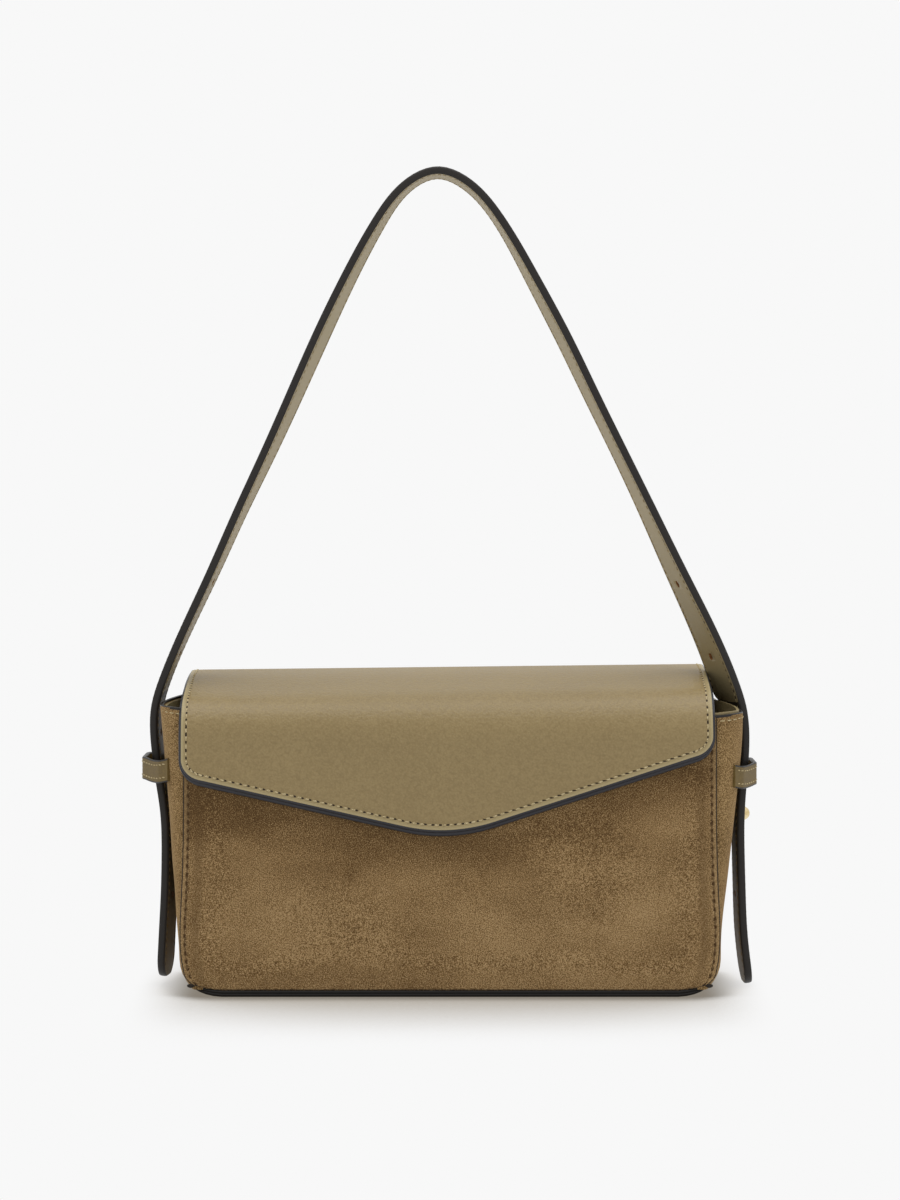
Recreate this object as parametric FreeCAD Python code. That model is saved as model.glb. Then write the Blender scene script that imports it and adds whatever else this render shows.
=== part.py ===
import FreeCAD, Part
import math
import os

# A small structured crossbody bag: a suede body on a painted base, a bent leather flap that
# closes on a magnetic snap, and one leather strap that runs through a keeper on each gusset
# and is buttoned on a ball stud below it. Millimetres, +Z up, the bag's front faces -Y and
# the origin is on the floor under the middle of the bag.

# Body
panel_width = 250.0
panel_leather = 1.6
half_depth = 37.0
base_end_inset = 4.0
base_thickness = 3.3
base_corner_radius = 12.0
base_edge_bevel = 0.6
back_height = 134.0
front_drop = 2.5
rim_drop = 0.5
foot_taper = 2.0
foot_taper_height = 14.0
foot_bow_share = 0.7
lap = 0.1

# Gussets: how far each swells past the panels' sides, at rising heights
gusset_leather = 1.6
gusset_foot_inset = 1.2
gusset_heel_swell = 1.2
gusset_low_swell = 3.7
gusset_mid_swell = 6.8
gusset_rim_swell = 12.0
gusset_heel_height = 9.0
gusset_low_height = 28.0
gusset_mid_height = 70.0
gusset_corner_depth = 13.0
gusset_tuck = 9.0
gusset_corner_steps = 5
rim_front_drop = 2.0
rim_front_run = 11.0

# Boards, facings and lining, from the outside in
board_side_gap = 10.0
board_foot_gap = 2.0
board_top_gap = 1.0
base_board_inset = 4.0
facing_leather = 1.0
facing_width = 14.0
gusset_facing_width = 16.0
lining_thickness = 0.6
lining_below_rim = 15.5
pocket_width = 150.0
pocket_bottom = 44.0
pocket_height = 62.0
pocket_thickness = 0.6
pocket_corner_radius = 8.0

# Magnetic snap
snap_above_tip = 21.5
snap_diameter = 18.0
snap_socket_thickness = 0.9
snap_stud_thickness = 0.8
snap_gap = 0.3
snap_bore = 5.0
snap_wall = 1.4
snap_plate_diameter = 16.0
snap_socket_plate = 1.2
snap_stud_plate = 0.6
snap_stem = 4.0
snap_hole_gap = 0.1
snap_edge_bevel = 0.3

# Flap
flap_leather_ply = 2.0
flap_stiffener_ply = 0.6
flap_lining_ply = 1.0
flap_stiffener_inset = 8.0
flap_brow_rise = 5.3
flap_crown_y = 3.0
flap_crown_rise = 9.4
flap_ridge_rise = 2.4
flap_brow_radius = 16.0
flap_crown_radius = 150.0
flap_ridge_radius = 11.0
flap_left_overhang = 1.6
flap_right_inset = 0.8
flap_left_corner_drop = 32.5
flap_right_corner_drop = 20.5
flap_left_slope = 12.7
flap_right_slope = 18.0
flap_corner_radius = 12.0
flap_tip_radius = 95.0
hinge_rise = 1.5
knuckle_gap = 0.3
flap_open_limit = 110.0
anchor_height = 22.0
anchor_side_inset = 6.0

# Strap
strap_width = 22.0
strap_thickness = 3.6
strap_rim_gap = 1.0
strap_waist = 2.0
strap_waist_radius = 150.0
strap_shoulder_rise = 7.5
strap_bow_x = 57.0
strap_slope_rise = 179.0
strap_peak_rise = 99.0
strap_shoulder_radius = 60.0
strap_bow_radius = 200.0
strap_apex_radius = 28.8
strap_split_rise = 7.0
strap_split_gap = 0.3
strap_flex_run = 82.0
tail_lift = 2.0
tail_tip_radius = 10.5
hole_diameter = 4.0
hole_pitch = 38.5

# Keepers
keeper_below_rim = 36.5
keeper_width = 15.0
keeper_wall = 2.0
keeper_slack = 2.4
keeper_side_room = 0.8
keeper_corner_radius = 6.0

# Ball studs
stud_below_keeper = 15.0
stud_base_diameter = 9.0
stud_neck_diameter = 3.4
stud_ball_diameter = 6.5
stud_ball_steps = 5
stud_proud = 4.0
stud_seat_gap = 0.3
cap_diameter = 7.0
cap_thickness = 0.5
cap_seat_gap = 0.2
stud_thread_diameter = 2.4
screw_head_diameter = 8.0
screw_head_thickness = 0.9

# Worked out from the sizes above
front_height = back_height - front_drop
rim_height = back_height - rim_drop
hinge_height = back_height + hinge_rise
base_length = panel_width - 2 * base_end_inset
board_width = panel_width - 2 * board_side_gap
base_board_length = base_length - 2 * base_board_inset
base_board_depth = 2 * half_depth - 2 * base_board_inset
gusset_reach_foot = panel_width / 2 - gusset_foot_inset
gusset_reach_heel = panel_width / 2 + gusset_heel_swell
gusset_reach_low = panel_width / 2 + gusset_low_swell
gusset_reach_mid = panel_width / 2 + gusset_mid_swell
gusset_reach_rim = panel_width / 2 + gusset_rim_swell
gusset_flat_half = half_depth - gusset_corner_depth
gusset_corner_points = gusset_corner_steps + 1
lining_height = rim_height - lining_below_rim
flap_brow_height = rim_height + flap_brow_rise
flap_crown_height = flap_brow_height + flap_crown_rise
flap_ridge_height = flap_crown_height + flap_ridge_rise
flap_left_half = panel_width / 2 + flap_left_overhang
flap_right_half = panel_width / 2 - flap_right_inset
flap_left_corner = rim_height - flap_left_corner_drop
flap_right_corner = rim_height - flap_right_corner_drop
flap_left_rise = math.tan(math.radians(flap_left_slope))
flap_right_rise = math.tan(math.radians(flap_right_slope))
flap_fall = flap_right_rise * flap_right_half - flap_left_rise * flap_left_half
flap_tip_x = (flap_left_corner - flap_right_corner + flap_fall) / (flap_left_rise + flap_right_rise)
flap_tip_z = flap_left_corner - flap_left_rise * (flap_tip_x + flap_left_half)
snap_height = flap_tip_z + snap_above_tip
strap_shoulder_height = rim_height + strap_shoulder_rise
strap_bow_height = strap_shoulder_height + strap_slope_rise
strap_peak_height = strap_bow_height + strap_peak_rise
keeper_bottom = rim_height - keeper_below_rim
seam_y = half_depth - panel_leather
board_inner_y = seam_y - gusset_leather
flap_thickness = flap_leather_ply + flap_lining_ply
flap_clear = snap_socket_thickness + snap_gap + snap_stud_thickness
flap_front_y = half_depth + flap_clear + flap_thickness
flap_back_y = half_depth + flap_thickness
hinge_y = half_depth + flap_thickness / 2
knuckle_radius = flap_thickness / 2
middle_shift = (flap_front_y - flap_back_y) / 2
tuck_x = panel_width / 2 - gusset_tuck
strap_reach = gusset_reach_rim + strap_rim_gap + strap_thickness
strap_face = strap_reach - strap_waist
strap_split_height = strap_shoulder_height + strap_split_rise
strap_flex_height = strap_split_height + strap_flex_run
stud_height = keeper_bottom - stud_below_keeper
overrun = panel_width
flat_tolerance = 1e-7

UP = FreeCAD.Vector(0, 0, 1)
RIGHT = FreeCAD.Vector(1, 0, 0)
BACK = FreeCAD.Vector(0, 1, 0)
ORIGIN = FreeCAD.Vector(0, 0, 0)


def write(shape, node):
    """Writes one sub-part, moved so that the origin is under the middle of the whole depth."""
    placed = shape.copy()
    placed.translate(BACK * middle_shift)
    placed.exportStep("parts/" + node + ".step")


def box(x0, x1, y0, y1, z0, z1):
    """A block between two values on each axis."""
    return Part.makeBox(x1 - x0, y1 - y0, z1 - z0, FreeCAD.Vector(x0, y0, z0))


def rod(diameter, length, start, direction):
    """A round bar from a start point along a direction."""
    return Part.makeCylinder(diameter / 2, length, start, direction)


def rounded_edges(points, radii, closed):
    """Straight edges through 2D points, with a tangent arc of the given radius at each corner."""
    count = len(points)
    corners = range(count) if closed else range(1, count - 1)
    arcs = {}
    for i in corners:
        if radii[i] <= 0:
            continue
        before = points[i - 1] - points[i]
        after = points[(i + 1) % count] - points[i]
        before.normalize()
        after.normalize()
        half_angle = before.getAngle(after) / 2
        reach = radii[i] / math.tan(half_angle)
        inward = before + after
        inward.normalize()
        middle = points[i] + inward * (radii[i] / math.sin(half_angle) - radii[i])
        arcs[i] = (points[i] + before * reach, middle, points[i] + after * reach)
    edges = []
    legs = range(count) if closed else range(count - 1)
    for i in legs:
        j = (i + 1) % count
        start = arcs[i][2] if i in arcs else points[i]
        end = arcs[j][0] if j in arcs else points[j]
        edges.append(Part.LineSegment(start, end).toShape())
        if j in arcs:
            edges.append(Part.Arc(*arcs[j]).toShape())
    return edges


def rounded_face(points, radii):
    """A flat face inside a closed outline with rounded corners."""
    return Part.Face(Part.Wire(rounded_edges(points, radii, True)))


def offset_path(points, inset, axis):
    """An open path of points moved sideways, square to the axis, by the same distance on every run."""
    runs = [points[i + 1] - points[i] for i in range(len(points) - 1)]
    for run in runs:
        run.normalize()
    sides = [run.cross(axis) for run in runs]
    moved = [points[0] + sides[0] * inset]
    for i in range(1, len(points) - 1):
        turn = sides[i - 1] + sides[i]
        turn.normalize()
        moved.append(points[i] + turn * (inset / turn.dot(sides[i])))
    moved.append(points[-1] + sides[-1] * inset)
    return moved


def sheet_face(points, radii, outer, inner, axis):
    """The face between two offsets of one rounded path: a bent sheet seen edge on."""
    outside = offset_path(points, outer, axis)
    inside = offset_path(points, inner, axis)
    edges = rounded_edges(outside, [r - outer for r in radii], False)
    edges.append(Part.LineSegment(outside[-1], inside[-1]).toShape())
    back = rounded_edges(inside[::-1], [r - inner for r in radii[::-1]], False)
    edges.extend(back)
    edges.append(Part.LineSegment(inside[0], outside[0]).toShape())
    return Part.Face(Part.Wire(Part.__sortEdges__(edges)))


# Body shell: one closed plan outline, lofted up through its heights


def corner_bow(run, rise):
    """The middle of an arc over a corner of the given run and rise, tangent to its longer one."""
    long, short = max(run, rise), min(run, rise)
    radius = (long * long + short * short) / (2 * short)
    half_angle = math.asin(long / radius) / 2
    along = radius * math.sin(half_angle)
    across = radius - radius * math.cos(half_angle)
    if run >= rise:
        return along, across
    return run - across, rise - along


def plan_half(height, reach, seam_x, inset):
    """The right half of the body's plan at one height, from the front's middle round to the back's."""
    front = seam_y - inset
    side = reach - inset
    out, back = corner_bow(side - seam_x, front - gusset_flat_half)
    bow_x = seam_x + out
    bow_y = front - back

    def at(x, y):
        return FreeCAD.Vector(x, y, height)

    flat = gusset_flat_half
    front_bow = Part.Arc(at(seam_x, -front), at(bow_x, -bow_y), at(side, -flat))
    back_bow = Part.Arc(at(side, flat), at(bow_x, bow_y), at(seam_x, front))
    bends = front_bow.discretize(gusset_corner_points) + back_bow.discretize(gusset_corner_points)
    return [at(0, -front)] + bends + [at(0, front)]


def wall_faces(corners):
    """A wall between four corners: one face where it is flat, and two where it twists."""
    first, second, third, fourth = corners
    normal = (second - first).cross(third - first).normalize()
    if abs(normal.dot(fourth - first)) < flat_tolerance:
        return [Part.Face(Part.makePolygon(corners + [first]))]
    halves = ([first, second, third, first], [first, third, fourth, first])
    return [Part.Face(Part.makePolygon(half)) for half in halves]


def body_loft(inset):
    """The solid inside the gussets' skin, brought in by an inset: walls between stacked plans."""
    seam_x = panel_width / 2 - gusset_leather / 2
    foot_seam = seam_x - gusset_tuck / 2
    heel_seam = seam_x - foot_taper
    sections = [
        (base_thickness, gusset_reach_foot, foot_seam - foot_taper),
        (gusset_heel_height, gusset_reach_heel, heel_seam),
        (gusset_low_height, gusset_reach_low, seam_x),
        (gusset_mid_height, gusset_reach_mid, seam_x),
        (rim_height, gusset_reach_rim, seam_x),
    ]
    plans = [plan_half(z, reach, seam, inset) for z, reach, seam in sections]
    faces = [Part.Face(Part.makePolygon(plan + plan[:1])) for plan in (plans[0], plans[-1])]
    for low, high in zip(plans, plans[1:]):
        for i in range(len(low) - 1):
            faces.extend(wall_faces([low[i], low[i + 1], high[i + 1], high[i]]))
    faces.extend([face.mirror(ORIGIN, RIGHT) for face in faces])
    return Part.Solid(Part.Shell(faces)).removeSplitter()


def front_rim_cut():
    """The wedge above the mouth's front, where the rim drops to the front panel's top."""
    low = rim_height - rim_front_drop
    corner_y = -half_depth
    outline = [
        FreeCAD.Vector(-overrun, corner_y, low),
        FreeCAD.Vector(-overrun, corner_y + rim_front_run, rim_height),
        FreeCAD.Vector(-overrun, corner_y + rim_front_run, rim_height + overrun),
        FreeCAD.Vector(-overrun, corner_y - overrun, rim_height + overrun),
        FreeCAD.Vector(-overrun, corner_y - overrun, low),
    ]
    return Part.Face(Part.makePolygon(outline + outline[:1])).extrude(RIGHT * (2 * overrun))


def side_half(side, start_x):
    """Everything further out than start_x on one side, +1 for the right and -1 for the left."""
    low, high = sorted((side * start_x, side * overrun))
    return box(low, high, -overrun, overrun, 0, overrun)


skin_solid = body_loft(0)
under_gusset = body_loft(gusset_leather)
under_facing = body_loft(gusset_leather + facing_leather)
inside_lining = body_loft(gusset_leather + facing_leather + lining_thickness)
rim_cut = front_rim_cut()


def panel_face(y, top):
    """A panel's outline: straight sides that taper in a little at the foot."""
    half = panel_width / 2
    foot = half - foot_taper
    bow_x = foot + foot_taper * foot_bow_share
    bow_z = base_thickness + (foot_taper_height - base_thickness) / 2

    def at(x, z):
        return FreeCAD.Vector(x, y, z)

    edges = [
        Part.LineSegment(at(-foot, base_thickness), at(foot, base_thickness)).toShape(),
        Part.Arc(at(foot, base_thickness), at(bow_x, bow_z), at(half, foot_taper_height)).toShape(),
        Part.LineSegment(at(half, foot_taper_height), at(half, top)).toShape(),
        Part.LineSegment(at(half, top), at(-half, top)).toShape(),
        Part.LineSegment(at(-half, top), at(-half, foot_taper_height)).toShape(),
        Part.Arc(at(-half, foot_taper_height), at(-bow_x, bow_z), at(-foot, base_thickness)).toShape(),
    ]
    return Part.Face(Part.Wire(edges))


def make_base():
    """The painted slab under the bag, with its edges eased."""
    half = base_length / 2
    corners = [
        FreeCAD.Vector(-half, -half_depth, 0),
        FreeCAD.Vector(half, -half_depth, 0),
        FreeCAD.Vector(half, half_depth, 0),
        FreeCAD.Vector(-half, half_depth, 0),
    ]
    slab = rounded_face(corners, [base_corner_radius] * len(corners))
    slab = slab.extrude(UP * base_thickness)
    bottom = [e for e in slab.Edges if e.BoundBox.ZMax < base_thickness / 2]
    return slab.makeChamfer(base_edge_bevel, bottom)


def make_base_board():
    """The board that keeps the floor of the bag flat."""
    half_x = base_board_length / 2
    half_y = base_board_depth / 2
    corners = [
        FreeCAD.Vector(-half_x, -half_y, base_thickness),
        FreeCAD.Vector(half_x, -half_y, base_thickness),
        FreeCAD.Vector(half_x, half_y, base_thickness),
        FreeCAD.Vector(-half_x, half_y, base_thickness),
    ]
    plan = rounded_face(corners, [base_corner_radius] * len(corners))
    return plan.extrude(UP * gusset_leather).common(under_gusset)


def make_front_panel():
    """The front sheet of suede, with a hole for the snap's collar."""
    sheet = panel_face(-half_depth, front_height).extrude(BACK * panel_leather)
    return sheet.cut(snap_rod(snap_collar + 2 * snap_hole_gap, half_depth, -half_depth))


def make_back_panel():
    """The back sheet of suede, taller than the front by the flap's sewn strip."""
    return panel_face(half_depth, back_height).extrude(BACK * -panel_leather)


def board(side_y, top):
    """A stiffener that lies on a panel's inner face, between the two gussets' turned edges."""
    low_y, high_y = sorted((side_y * seam_y, side_y * board_inner_y))
    half = board_width / 2
    foot = base_thickness + gusset_leather + board_foot_gap
    return box(-half, half, low_y, high_y, foot, top - board_top_gap)


def mouth_facing(side_y, top):
    """The leather strip that finishes a panel's board inside the mouth."""
    inner_y = board_inner_y - facing_leather
    low_y, high_y = sorted((side_y * board_inner_y, side_y * inner_y))
    half = board_width / 2
    return box(-half, half, low_y, high_y, top - facing_width - board_top_gap, top - board_top_gap)


def gusset(side):
    """A gusset: the skin beyond the panels, with its edges turned in behind them."""
    ring = skin_solid.cut(under_gusset)
    wall = ring.common(side_half(side, tuck_x)).cut(rim_cut)
    hole = rod(stud_thread_diameter + 2 * snap_hole_gap, overrun, stud_start(0), RIGHT * side)
    return wall.cut(hole)


def gusset_facing(side):
    """The smooth leather lip inside a gusset's rim."""
    ring = under_gusset.cut(under_facing)
    band = box(-overrun, overrun, -overrun, overrun, rim_height - gusset_facing_width, rim_height)
    lip = ring.common(band).common(side_half(side, tuck_x))
    return lip.cut(rim_cut)


def make_lining():
    """The open-topped lining, sewn to the facings along its top edge."""
    floor = base_thickness + gusset_leather + lap
    outer = under_facing.common(box(-overrun, overrun, -overrun, overrun, floor, lining_height))
    hollow = box(-overrun, overrun, -overrun, overrun, floor + lining_thickness, rim_height)
    return outer.cut(inside_lining.common(hollow))


def make_pocket():
    """A flat pocket sewn on the lining's back wall."""
    y = board_inner_y - facing_leather - lining_thickness
    half = pocket_width / 2
    top = pocket_bottom + pocket_height
    corners = [
        FreeCAD.Vector(-half, y, pocket_bottom),
        FreeCAD.Vector(half, y, pocket_bottom),
        FreeCAD.Vector(half, y, top),
        FreeCAD.Vector(-half, y, top),
    ]
    radii = [pocket_corner_radius, pocket_corner_radius, 0, 0]
    return rounded_face(corners, radii).extrude(BACK * -pocket_thickness)


# Magnetic snap, on one axis along Y

snap_collar = snap_bore + snap_wall


def snap_rod(diameter, depth, start_y):
    """A round bar on the snap's axis, from its front end towards the back."""
    return rod(diameter, depth, FreeCAD.Vector(0, start_y, snap_height), BACK)


def make_snap_socket():
    """The magnetic socket: a disc on the suede with a collar through it and a bore."""
    face_y = -half_depth - snap_socket_thickness
    disc = snap_rod(snap_diameter, snap_socket_thickness, face_y)
    rim = [e for e in disc.Edges if e.BoundBox.YMax < -half_depth]
    disc = disc.makeChamfer(snap_edge_bevel, rim)
    collar_length = snap_socket_thickness + panel_leather + snap_socket_plate
    collar = snap_rod(snap_collar, collar_length, face_y)
    return disc.fuse(collar).cut(snap_rod(snap_bore, collar_length, face_y)).removeSplitter()


def make_snap_socket_plate():
    """The ring behind the suede that the socket's collar is riveted over."""
    plate = snap_rod(snap_plate_diameter, snap_socket_plate, -seam_y)
    return plate.cut(snap_rod(snap_collar + 2 * snap_hole_gap, snap_socket_plate, -seam_y))


def make_snap_stud():
    """The magnetic stud on the flap's lining, with a stem for the socket's bore."""
    flap_inner_y = -flap_front_y + flap_thickness
    disc = snap_rod(snap_diameter, snap_stud_thickness, flap_inner_y)
    rim = [e for e in disc.Edges if e.BoundBox.YMin > flap_inner_y]
    disc = disc.makeChamfer(snap_edge_bevel, rim)
    stem_start = flap_inner_y - flap_lining_ply
    stem_end = -half_depth - lap
    stem = snap_rod(snap_stem, stem_end - stem_start, stem_start)
    return disc.fuse(stem).removeSplitter()


def make_snap_stud_plate():
    """The plate between the flap's plies that holds the stud."""
    start_y = -flap_front_y + flap_leather_ply - snap_stud_plate
    return snap_rod(snap_plate_diameter, snap_stud_plate, start_y)


# Flap: a sheet bent over the top, cut to the front's sloped outline


def flap_path():
    """The flap's outer face seen from the side, from below its tip to the hinge line."""
    return [
        FreeCAD.Vector(0, -flap_front_y, 0),
        FreeCAD.Vector(0, -flap_front_y, flap_brow_height),
        FreeCAD.Vector(0, flap_crown_y, flap_crown_height),
        FreeCAD.Vector(0, flap_back_y, flap_ridge_height),
        FreeCAD.Vector(0, flap_back_y, hinge_height - knuckle_radius),
    ]


def flap_ply(outer, inner):
    """One ply of the bent sheet, at full width, between two depths from the outer face."""
    radii = [0, flap_brow_radius, flap_crown_radius, flap_ridge_radius, 0]
    face = sheet_face(flap_path(), radii, outer, inner, FreeCAD.Vector(1, 0, 0))
    face.translate(RIGHT * -overrun)
    return face.extrude(RIGHT * (2 * overrun))


def flap_outline(inset):
    """The flap's front outline: upright sides, rounded corners and a wide off-centre tip."""
    left = -flap_left_half + inset
    right = flap_right_half - inset
    left_lift = inset / math.cos(math.radians(flap_left_slope)) - flap_left_rise * inset
    right_lift = inset / math.cos(math.radians(flap_right_slope)) - flap_right_rise * inset
    left_foot = flap_left_corner + left_lift
    right_foot = flap_right_corner + right_lift
    fall = flap_right_rise * right + flap_left_rise * left
    tip_x = (left_foot - right_foot + fall) / (flap_left_rise + flap_right_rise)
    tip_z = left_foot - flap_left_rise * (tip_x - left)
    corners = [
        FreeCAD.Vector(left, -overrun, overrun),
        FreeCAD.Vector(left, -overrun, left_foot),
        FreeCAD.Vector(tip_x, -overrun, tip_z),
        FreeCAD.Vector(right, -overrun, right_foot),
        FreeCAD.Vector(right, -overrun, overrun),
    ]
    radii = [0, flap_corner_radius, flap_tip_radius, flap_corner_radius, 0]
    return rounded_face(corners, radii).extrude(BACK * (2 * overrun))


def hinge_end():
    """All that the flap keeps near its hinge line: above the axis, and a round end below it."""
    above = box(-overrun, overrun, -overrun, overrun, hinge_height, overrun)
    front = box(-overrun, overrun, -overrun, 0, 0, hinge_height)
    start = FreeCAD.Vector(-overrun, hinge_y, hinge_height)
    knuckle = rod(2 * knuckle_radius, 2 * overrun, start, RIGHT)
    return above.fuse(knuckle).fuse(front)


def make_flap():
    """The flap's three plies. The stiffener lies in a recess of the outer leather."""
    outline = flap_outline(0)
    keep = hinge_end()
    stud_start_y = -flap_front_y + flap_leather_ply - snap_stud_plate
    plate_room = snap_rod(snap_plate_diameter + 2 * snap_hole_gap, half_depth, stud_start_y)
    stiff_low = flap_leather_ply - flap_stiffener_ply
    room = flap_ply(stiff_low, flap_leather_ply).common(flap_outline(flap_stiffener_inset))
    above = box(-overrun, overrun, -overrun, overrun, hinge_height + flap_stiffener_inset, overrun)
    front = box(-overrun, overrun, -overrun, hinge_y - flap_ridge_radius, 0, overrun)
    room = room.common(above.fuse(front))
    stiffener = room.cut(plate_room)
    leather = flap_ply(0, flap_leather_ply).common(outline).common(keep).cut(room)
    lining = flap_ply(flap_leather_ply, flap_thickness).common(outline).common(keep)
    lining = lining.cut(snap_rod(snap_stem + 2 * snap_hole_gap, half_depth, -flap_front_y))
    return leather, stiffener, lining


def make_flap_anchor():
    """The flap's sewn strip on the back panel, hollowed to clear the hinge and the open flap."""
    left = -flap_left_half + anchor_side_inset
    right = flap_right_half - anchor_side_inset
    top = hinge_height
    strip = box(left, right, half_depth, flap_back_y, top - anchor_height, top)
    start = FreeCAD.Vector(-overrun, hinge_y, hinge_height)
    saddle = rod(2 * (knuckle_radius + knuckle_gap), 2 * overrun, start, RIGHT)
    room = knuckle_radius + knuckle_gap
    opened = box(-overrun, overrun, hinge_y - room, hinge_y + room, hinge_height, overrun)
    opened.rotate(start, RIGHT, -flap_open_limit)
    above = box(-overrun, overrun, 0, overrun, hinge_height - knuckle_radius, overrun)
    return strip.cut(saddle).cut(opened).cut(above)


# Strap: one band of doubled leather, bent in the XZ plane and straight across its width


def strap_band():
    """The whole strap from tail to tail, with rounded tongues at its ends."""
    path = [
        FreeCAD.Vector(strap_reach, 0, tail_lift),
        FreeCAD.Vector(strap_face, 0, stud_height),
        FreeCAD.Vector(strap_reach, 0, strap_shoulder_height),
        FreeCAD.Vector(strap_bow_x, 0, strap_bow_height),
        FreeCAD.Vector(0, 0, strap_peak_height),
        FreeCAD.Vector(-strap_bow_x, 0, strap_bow_height),
        FreeCAD.Vector(-strap_reach, 0, strap_shoulder_height),
        FreeCAD.Vector(-strap_face, 0, stud_height),
        FreeCAD.Vector(-strap_reach, 0, tail_lift),
    ]
    radii = [0, strap_waist_radius, strap_shoulder_radius, strap_bow_radius, strap_apex_radius]
    radii = radii + radii[3:0:-1] + [0]
    face = sheet_face(path, radii, 0, strap_thickness, FreeCAD.Vector(0, 1, 0))
    face.translate(BACK * (-strap_width / 2))
    band = face.extrude(BACK * strap_width)
    half = strap_width / 2
    corners = [
        FreeCAD.Vector(-overrun, -half, tail_lift),
        FreeCAD.Vector(-overrun, half, tail_lift),
        FreeCAD.Vector(-overrun, half, strap_peak_height),
        FreeCAD.Vector(-overrun, -half, strap_peak_height),
    ]
    tongue = rounded_face(corners, [tail_tip_radius, tail_tip_radius, 0, 0])
    return band.common(tongue.extrude(RIGHT * (2 * overrun)))


def strap_slope():
    """The angle between the strap's straight run and the upright, in radians."""
    return math.atan2(strap_reach - strap_bow_x, strap_bow_height - strap_shoulder_height)


def strap_holes(side):
    """Round holes at one pitch along the strap, square to it, for one side."""
    slope = strap_slope()
    turn = strap_shoulder_radius * math.tan(slope / 2)
    arc_start = strap_shoulder_height - turn
    holes = []
    for height in (stud_height - hole_pitch, stud_height, stud_height + hole_pitch):
        start = FreeCAD.Vector(side * (strap_reach - 2 * strap_thickness), 0, height)
        holes.append(rod(hole_diameter, 4 * strap_thickness, start, RIGHT * side))
    for steps in (2, 3):
        along = stud_height + steps * hole_pitch - arc_start - strap_shoulder_radius * slope
        run = turn + along
        x = strap_reach - run * math.sin(slope)
        z = strap_shoulder_height + run * math.cos(slope)
        outward = FreeCAD.Vector(side * math.cos(slope), 0, math.sin(slope))
        start = FreeCAD.Vector(side * x, 0, z) - outward * (2 * strap_thickness)
        holes.append(rod(hole_diameter, 4 * strap_thickness, start, outward))
    return holes


def strap_piece(band, side, low, high):
    """The part of the band between two heights, on one side or on both."""
    if side:
        x0, x1 = sorted((0, side * overrun))
        return band.common(box(x0, x1, -overrun, overrun, low, high)).cut(strap_holes(side))
    return band.common(box(-overrun, overrun, -overrun, overrun, low, high))


# Keepers and ball studs


def make_keeper(side):
    """A leather loop round the tail, both its ends sewn to the gusset."""
    room_x = strap_reach + keeper_slack
    outer_x = room_x + keeper_wall
    half_room = strap_width / 2 + keeper_side_room
    half_out = half_room + keeper_wall
    top = keeper_bottom + keeper_width

    def plan(reach, half, radius):
        corners = [
            FreeCAD.Vector(tuck_x, -half, keeper_bottom),
            FreeCAD.Vector(reach, -half, keeper_bottom),
            FreeCAD.Vector(reach, half, keeper_bottom),
            FreeCAD.Vector(tuck_x, half, keeper_bottom),
        ]
        return rounded_face(corners, [0, radius, radius, 0]).extrude(UP * (top - keeper_bottom))

    loop = plan(outer_x, half_out, keeper_corner_radius)
    loop = loop.cut(plan(room_x, half_room, keeper_corner_radius - keeper_wall))
    loop = loop.cut(skin_solid)
    return loop if side > 0 else loop.mirror(ORIGIN, RIGHT)


def stud_start(x):
    """A point on the stud's axis at a distance from the middle."""
    return FreeCAD.Vector(x, 0, stud_height)


def turned_ball(radius, centre):
    """A ball turned about the stud's axis from a profile of short straight runs."""
    turns = [math.pi * i / stud_ball_steps for i in range(stud_ball_steps + 1)]
    profile = [centre + FreeCAD.Vector(math.cos(t), math.sin(t), 0) * radius for t in turns]
    face = Part.Face(Part.makePolygon(profile + profile[:1]))
    return face.revolve(centre, RIGHT, 360)


def make_stud(head, head_x, side):
    """A turned brass stud: a base on the gusset, a neck through the strap and a head outside it."""
    inner_face = strap_face - strap_thickness - stud_seat_gap
    base = rod(stud_base_diameter, inner_face - tuck_x, stud_start(tuck_x), RIGHT)
    neck = rod(stud_neck_diameter, head_x - tuck_x, stud_start(tuck_x), RIGHT)
    thread = rod(stud_thread_diameter, overrun, stud_start(-overrun + inner_face), RIGHT)
    body = base.fuse(neck).cut(skin_solid).fuse(head).cut(thread)
    return body if side > 0 else body.mirror(ORIGIN, RIGHT)


def make_ball_stud(side):
    """The stud that shows: its head is a flattened ball."""
    radius = stud_ball_diameter / 2
    ball_x = strap_face + stud_proud - radius + stud_seat_gap
    ball = turned_ball(radius, stud_start(ball_x))
    ball = ball.cut(box(0, strap_face + stud_seat_gap, -overrun, overrun, 0, overrun))
    return make_stud(ball, ball_x, side)


def make_cap_stud(side):
    """The stud that the strap hides: its head is a thin flat cap."""
    cap_x = strap_face + cap_seat_gap
    cap = rod(cap_diameter, cap_thickness, stud_start(cap_x), RIGHT)
    return make_stud(cap, cap_x + cap_thickness / 2, side)


def make_stud_screw(side):
    """The screw behind a stud, its head under the lining and its shank in the stud's base."""
    inner_face = strap_face - strap_thickness - stud_seat_gap
    shank = rod(stud_thread_diameter, inner_face - tuck_x, stud_start(tuck_x), RIGHT)
    head = rod(screw_head_diameter, inner_face - tuck_x, stud_start(tuck_x), RIGHT)
    head = head.common(under_gusset).cut(body_loft(gusset_leather + screw_head_thickness))
    shank = shank.cut(body_loft(gusset_leather + screw_head_thickness))
    screw = head.fuse(shank).removeSplitter()
    return screw if side > 0 else screw.mirror(ORIGIN, RIGHT)


os.makedirs("parts", exist_ok=True)

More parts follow.
